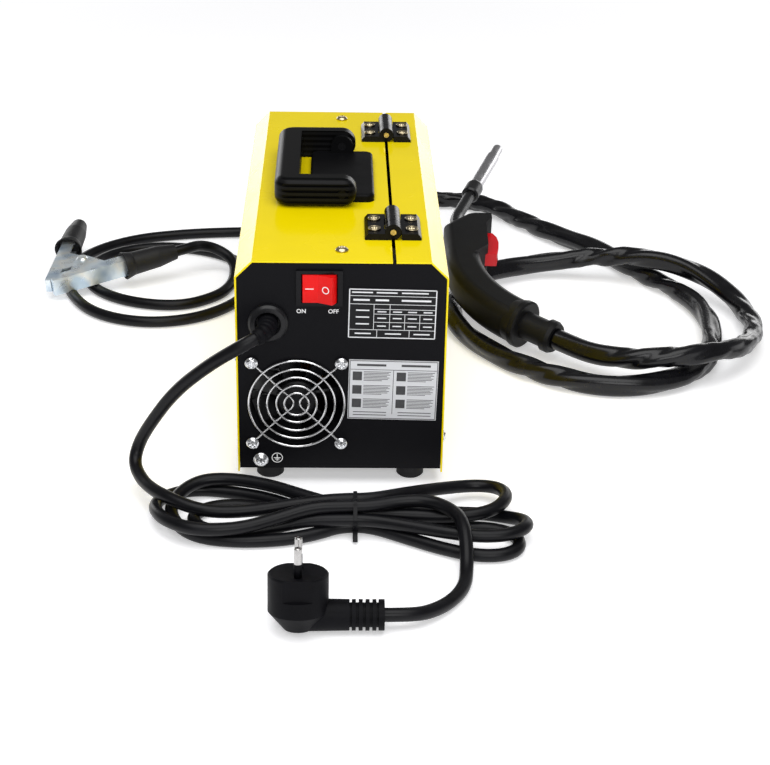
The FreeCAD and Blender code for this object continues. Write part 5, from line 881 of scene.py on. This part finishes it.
guard_rings = [(radius, (FAN_AT[0], RING_Y, FAN_AT[1])) for radius in GUARD_RINGS]
solid("guard_rings", *hoops(guard_rings, GUARD_WIRE), chrome_wire, slot="chrome_wire", stands_for=("fan_guard",))
guard_eyes = [(EYE_RADIUS, (x, STAY_Y, z)) for x, z in fan_corners]
solid("guard_eyes", *hoops(guard_eyes, GUARD_WIRE, 36), chrome_wire, slot="chrome_wire")
for name, side in (("guard_stay_left", -1), ("guard_stay_right", 1)):
    stay = [(FAN_AT[0] + side * across, STAY_Y, FAN_AT[1] + up) for across, up in (
        (STAY_END, STAY_END), (0.0085, 0.0080), (0.0022, 0.0030), (0.0022, -0.0030), (0.0085, -0.0080),
        (STAY_END, -STAY_END))]
    stay_line = even_steps(read_line(route(name + "_line", stay, 0.0, turns=16)), STAY_STEP)
    swept(name, stay_line, np.array(GUARD_WIRE), 10, chrome_wire, slot="chrome_wire")

# ---- rating plate and notice plate
# Two aluminium plates stuck on a little askew: one with black film and a blank table in silver, the other
# bare satin silver with a ruled blank form. Neither carries any words.
BETWEEN_PLATES = 0.105
film = Finish("plate_film", Roughness=0.38, Specular_IOR_Level=0.2)
upper = film.axis("Z") > BETWEEN_PLATES
brush = film.noise(300.0, 3.0, 0.6, film.place((0.05, 1.0, 1.0)))
silver = film.blend(brush, (0.62, 0.63, 0.65), (0.74, 0.75, 0.77))
film.set(Base_Color=film.blend(upper, silver, (0.006, 0.006, 0.007)), Metallic=film.ramp(upper, 0.4, 0.6, 0.3, 0.0))
film.on("rear_plates")
plate_silver = Finish("plate_silver", Metallic=0.25, Roughness=0.4)
plate_silver.set(Base_Color=plate_silver.blend(plate_silver.noise(400.0), (0.70, 0.71, 0.73), (0.84, 0.85, 0.87)))
plate_ink = Finish("plate_ink", Roughness=0.5)
plate_ink.set(Base_Color=plate_ink.blend(plate_ink.noise(500.0), (0.03, 0.03, 0.032), (0.06, 0.06, 0.065)))
PLATE_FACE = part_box("rear_plates")[0][1]
RULE_HIGH = 0.00006


def plate(name, low_left, askew, rules, finish):
    """Rules (across, up, length, width) in millimetres from the plate's lower left corner, on its face."""
    turn = math.radians(askew)
    rows = [(*(part / 1000 for part in rule), 0) for rule in rules]
    printed(name, [bars(rows, high=RULE_HIGH)], (low_left[0], PLATE_FACE, low_left[1]),
            ((math.cos(turn), 0, -math.sin(turn)), (math.sin(turn), 0, math.cos(turn))), finish)


def frame_rules(length, height, inset, wide):
    """Four rules along the edges of a plate."""
    long, tall = length - 2 * inset, height - 2 * inset
    return [(length / 2, inset, long, wide), (length / 2, height - inset, long, wide),
            (inset, height / 2, wide, tall), (length - inset, height / 2, wide, tall)]


RATING_SIZE = (60.3, 37.2)
rating_rules = [
    *frame_rules(*RATING_SIZE, inset=0.9, wide=0.7),
    *((30.1, up, 58.0, 0.35) for up in (31.6, 25.6, 6.8)),
    *((38.4, up, 41.5, 0.35) for up in (22.0, 18.4, 12.4)),
    *((across, 16.2, 0.35, 18.8) for across in (17.6, 28.4)),
    *((across, 12.6, 0.35, 11.6) for across in (38.6, 48.8)),
    *((across, 3.9, 0.35, 5.8) for across in (20.0, 42.0)),
    *((across, 34.1, long, 0.9) for across, long in ((9.5, 14.0), (26.0, 14.0), (45.0, 18.0))),
    *((across, 28.6, long, 1.3) for across, long in ((9.0, 11.0), (23.0, 9.0), (46.0, 20.0))),
    *((across, up, 6.0, 0.8) for across in (23.0, 33.5, 43.7, 54.2) for up in (20.2, 15.4, 9.6)),
    *((10.0, up, 9.0, 0.9) for up in (21.0, 16.0, 11.0)),
    *((across, 3.9, 11.0, 0.9) for across in (10.5, 31.0, 50.5)),
]
plate("rating_rules", (0.0039, 0.1134), 1.0, rating_rules, plate_silver)

NOTICE_SIZE = (61.4, 45.2)
NOTICE_ROWS = (33.0, 22.6, 12.2)
LINES_SHORT_BY = (0, 1.5, 0.4, 2.6, 0.8, 1.9, 6.0)
notice_rules = [
    *frame_rules(*NOTICE_SIZE, inset=0.7, wide=0.5), (30.7, 38.0, 59.0, 0.4), (30.7, 21.0, 0.4, 33.5),
    *((across, 41.4, 20.0, 1.6) for across in (15.5, 46.0)),
    *((5.9 + side, up, 6.4, 6.6) for side in (0, 30.2) for up in NOTICE_ROWS),
    *((19.6 + side - short / 2, up + 3.3 - 1.1 * line, 18.6 - short, 0.42)
      for side in (0, 30.2) for up in NOTICE_ROWS for line, short in enumerate(LINES_SHORT_BY)),
    *((15.2 + side, up, 23.0, 0.55) for side in (0, 31.0) for up in (5.4, 3.2)),
]
plate("notice_rules", (0.0046, 0.0522), 1.2, notice_rules, plate_ink)

# ---- front panel controls
# Two knobs with a white pointer turn over printed scales. Below them are the brass-lined cable sockets
# and the torch outlet with its bend sleeve, all moulded in black.
moulded("knob_plastic", (0.008, 0.008, 0.009), rough=0.3, shine=0.35).on("voltage_knob", "wire_speed_knob")
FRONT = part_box("front_panel")[1][1]
KNOB_X = 0.038
KNOB_Z = 0.130
KNOB_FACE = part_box("voltage_knob")[1][1]
KNOB_TURN = 135
SCALE_RADIUS = 0.0172
SHORT_MARK = 0.0026
LONG_MARK = 0.0040
scale = [(SCALE_RADIUS * math.sin(math.radians(turn)), SCALE_RADIUS * math.cos(math.radians(turn)), 0.0005,
          SHORT_MARK if mark % 5 else LONG_MARK, -turn)
         for mark, turn in enumerate(np.linspace(-KNOB_TURN, KNOB_TURN, 11))]
for knob, side in (("wire_speed", -1), ("voltage", 1)):
    printed(knob + "_scale", [bars(scale)], (side * KNOB_X, FRONT, KNOB_Z), TO_FRONT)
    printed(knob + "_pointer", [bars([(0.0044, -0.0044, 0.0011, 0.0062, 45)])], (side * KNOB_X, KNOB_FACE, KNOB_Z),
            TO_FRONT, body=knob)
SOCKET_X = (-0.044, -0.008)
SOCKET_Z = 0.038
SIGN_Z = SOCKET_Z + 0.0195
LINING_RADIUS = 0.0062
dash, upright = (0, 0, 0.005, 0.001, 0), (0, 0, 0.001, 0.005, 0)
printed("plus_sign", [bars([dash, upright])], (SOCKET_X[1], FRONT, SIGN_Z), TO_FRONT)
printed("minus_sign", [bars([dash])], (SOCKET_X[0], FRONT, SIGN_Z), TO_FRONT)
socket_mix = Finish("socket_brass_and_black", Specular_IOR_Level=0.3)
across, tall = socket_mix.axis("X"), socket_mix.axis("Z") - SOCKET_Z
near = [((across - x) ** 2 + tall ** 2) ** 0.5 for x in SOCKET_X]
lined = socket_mix.math("MINIMUM", *near) < LINING_RADIUS
socket_mix.set(Base_Color=socket_mix.blend(lined, (0.008, 0.008, 0.009), (0.70, 0.50, 0.22)), Metallic=lined,
               Roughness=socket_mix.ramp(socket_mix.noise(120.0), 0.3, 0.7, 0.28, 0.4))
socket_mix.on("current_sockets")
gland_nylon.on("torch_outlet")

# ---- welding torch
# Two half shells of matt black nylon, a red trigger, an insulated swan neck with its collar, and a
# satin nickel-plated nozzle with the copper contact tip down its mouth.
moulded("torch_nylon", (0.006, 0.006, 0.0065), rough=0.46, depth=0.00006, shine=0.16).on("torch_handle", "torch_collar")
moulded("neck_black", (0.006, 0.006, 0.007), rough=0.3, shine=0.35).on("swan_neck")
metal("satin_nickel", (0.58, 0.57, 0.59), rough=0.24, brushed=(1.0, 0.05, 1.0), grain=300.0, depth=0.000002).on(
    "gas_nozzle")
metal("tip_copper", (0.72, 0.36, 0.20), rough=0.3).on("contact_tip")
moulded("trigger_red", (0.58, 0.006, 0.012), rough=0.2, depth=0.00001, shine=0.45).on("torch_trigger")

# ---- earth clamp
# Two arms pressed from sheet and zinc-plated with a blue passivation are riveted through their ears, and a
# torsion spring pushes them apart at the grips, which are grained black vinyl with flared mouths.
zinc_blue = Finish("blue_zinc", Metallic=0.8)
tint = zinc_blue.noise(38.0, 2.0, 0.5)
rainbow = zinc_blue.node("ShaderNodeValToRGB", {"stops": [
    (0.30, (0.36, 0.47, 0.60)), (0.45, (0.70, 0.79, 0.86)), (0.58, (0.80, 0.82, 0.80)), (0.70, (0.50, 0.62, 0.74))]},
    {"Fac": tint})
zinc_blue.set(Base_Color=rainbow, Roughness=zinc_blue.ramp(zinc_blue.noise(90.0), 0.3, 0.7, 0.24, 0.42))
zinc_blue.bump(zinc_blue.noise(60.0, 3.0), 0.0002)
zinc_blue.on("clamp_lower", "clamp_upper", "clamp_rivet")
grip_vinyl = rubber("grip_vinyl", (0.009, 0.009, 0.010), rough=0.5, grain=420.0, depth=0.00018, shine=0.25)
grip_vinyl.on("clamp_lower_grip", "clamp_upper_grip")

CLAMP_TIP = np.array([-0.250, 0.1555, 0.014])
GRIP_FROM = 0.0721
RIVET_FROM = 0.036
arm_low = unit([90.0, 44.5, 11.0])
arm_up = unit([10.0, 123.5, 13.0])
arm_middle = unit(arm_low + arm_up)
rivet_way = unit(np.cross(arm_low, arm_up))
cuff = [(-0.004, 0.0100), (-0.001, 0.0107), (0.0055, 0.0124), (0.0062, 0.0121), (0.0058, 0.0112), (-0.003, 0.0096)]
for name, body, arm in (("lower_cuff", "machine", arm_low), ("upper_cuff", "clamp_arm", arm_up)):
    turned(name, [(cuff, CLAMP_TIP + arm * GRIP_FROM, -arm)], grip_vinyl, 40, body=body, slot="black_rubber")
COIL_RADIUS = 0.0049
COIL_WIRE = 0.0008
COIL_HALF = 0.0031
COIL_TURNS = 3.35
LEG_LENGTH = 0.012
coil_steps = np.linspace(0, 1, 150)[:, None]
coil_turn = coil_steps * math.tau * COIL_TURNS
rivet_at = CLAMP_TIP + arm_middle * RIVET_FROM / (arm_low @ arm_middle)
coil = rivet_at + rivet_way * (2 * coil_steps - 1) * COIL_HALF + COIL_RADIUS * (
    np.sin(coil_turn) * arm_low - np.cos(coil_turn) * np.cross(rivet_way, arm_low))
leg = np.linspace(LEG_LENGTH, COIL_WIRE, 12)[:, None]
first_leg = coil[0] - leg * unit(coil[1] - coil[0])
last_leg = coil[-1] + leg[::-1] * unit(coil[-1] - coil[-2])
swept("clamp_spring", np.concatenate([first_leg, coil, last_leg]), np.array(COIL_WIRE), 8, spring_zinc,
      slot="bare_steel")
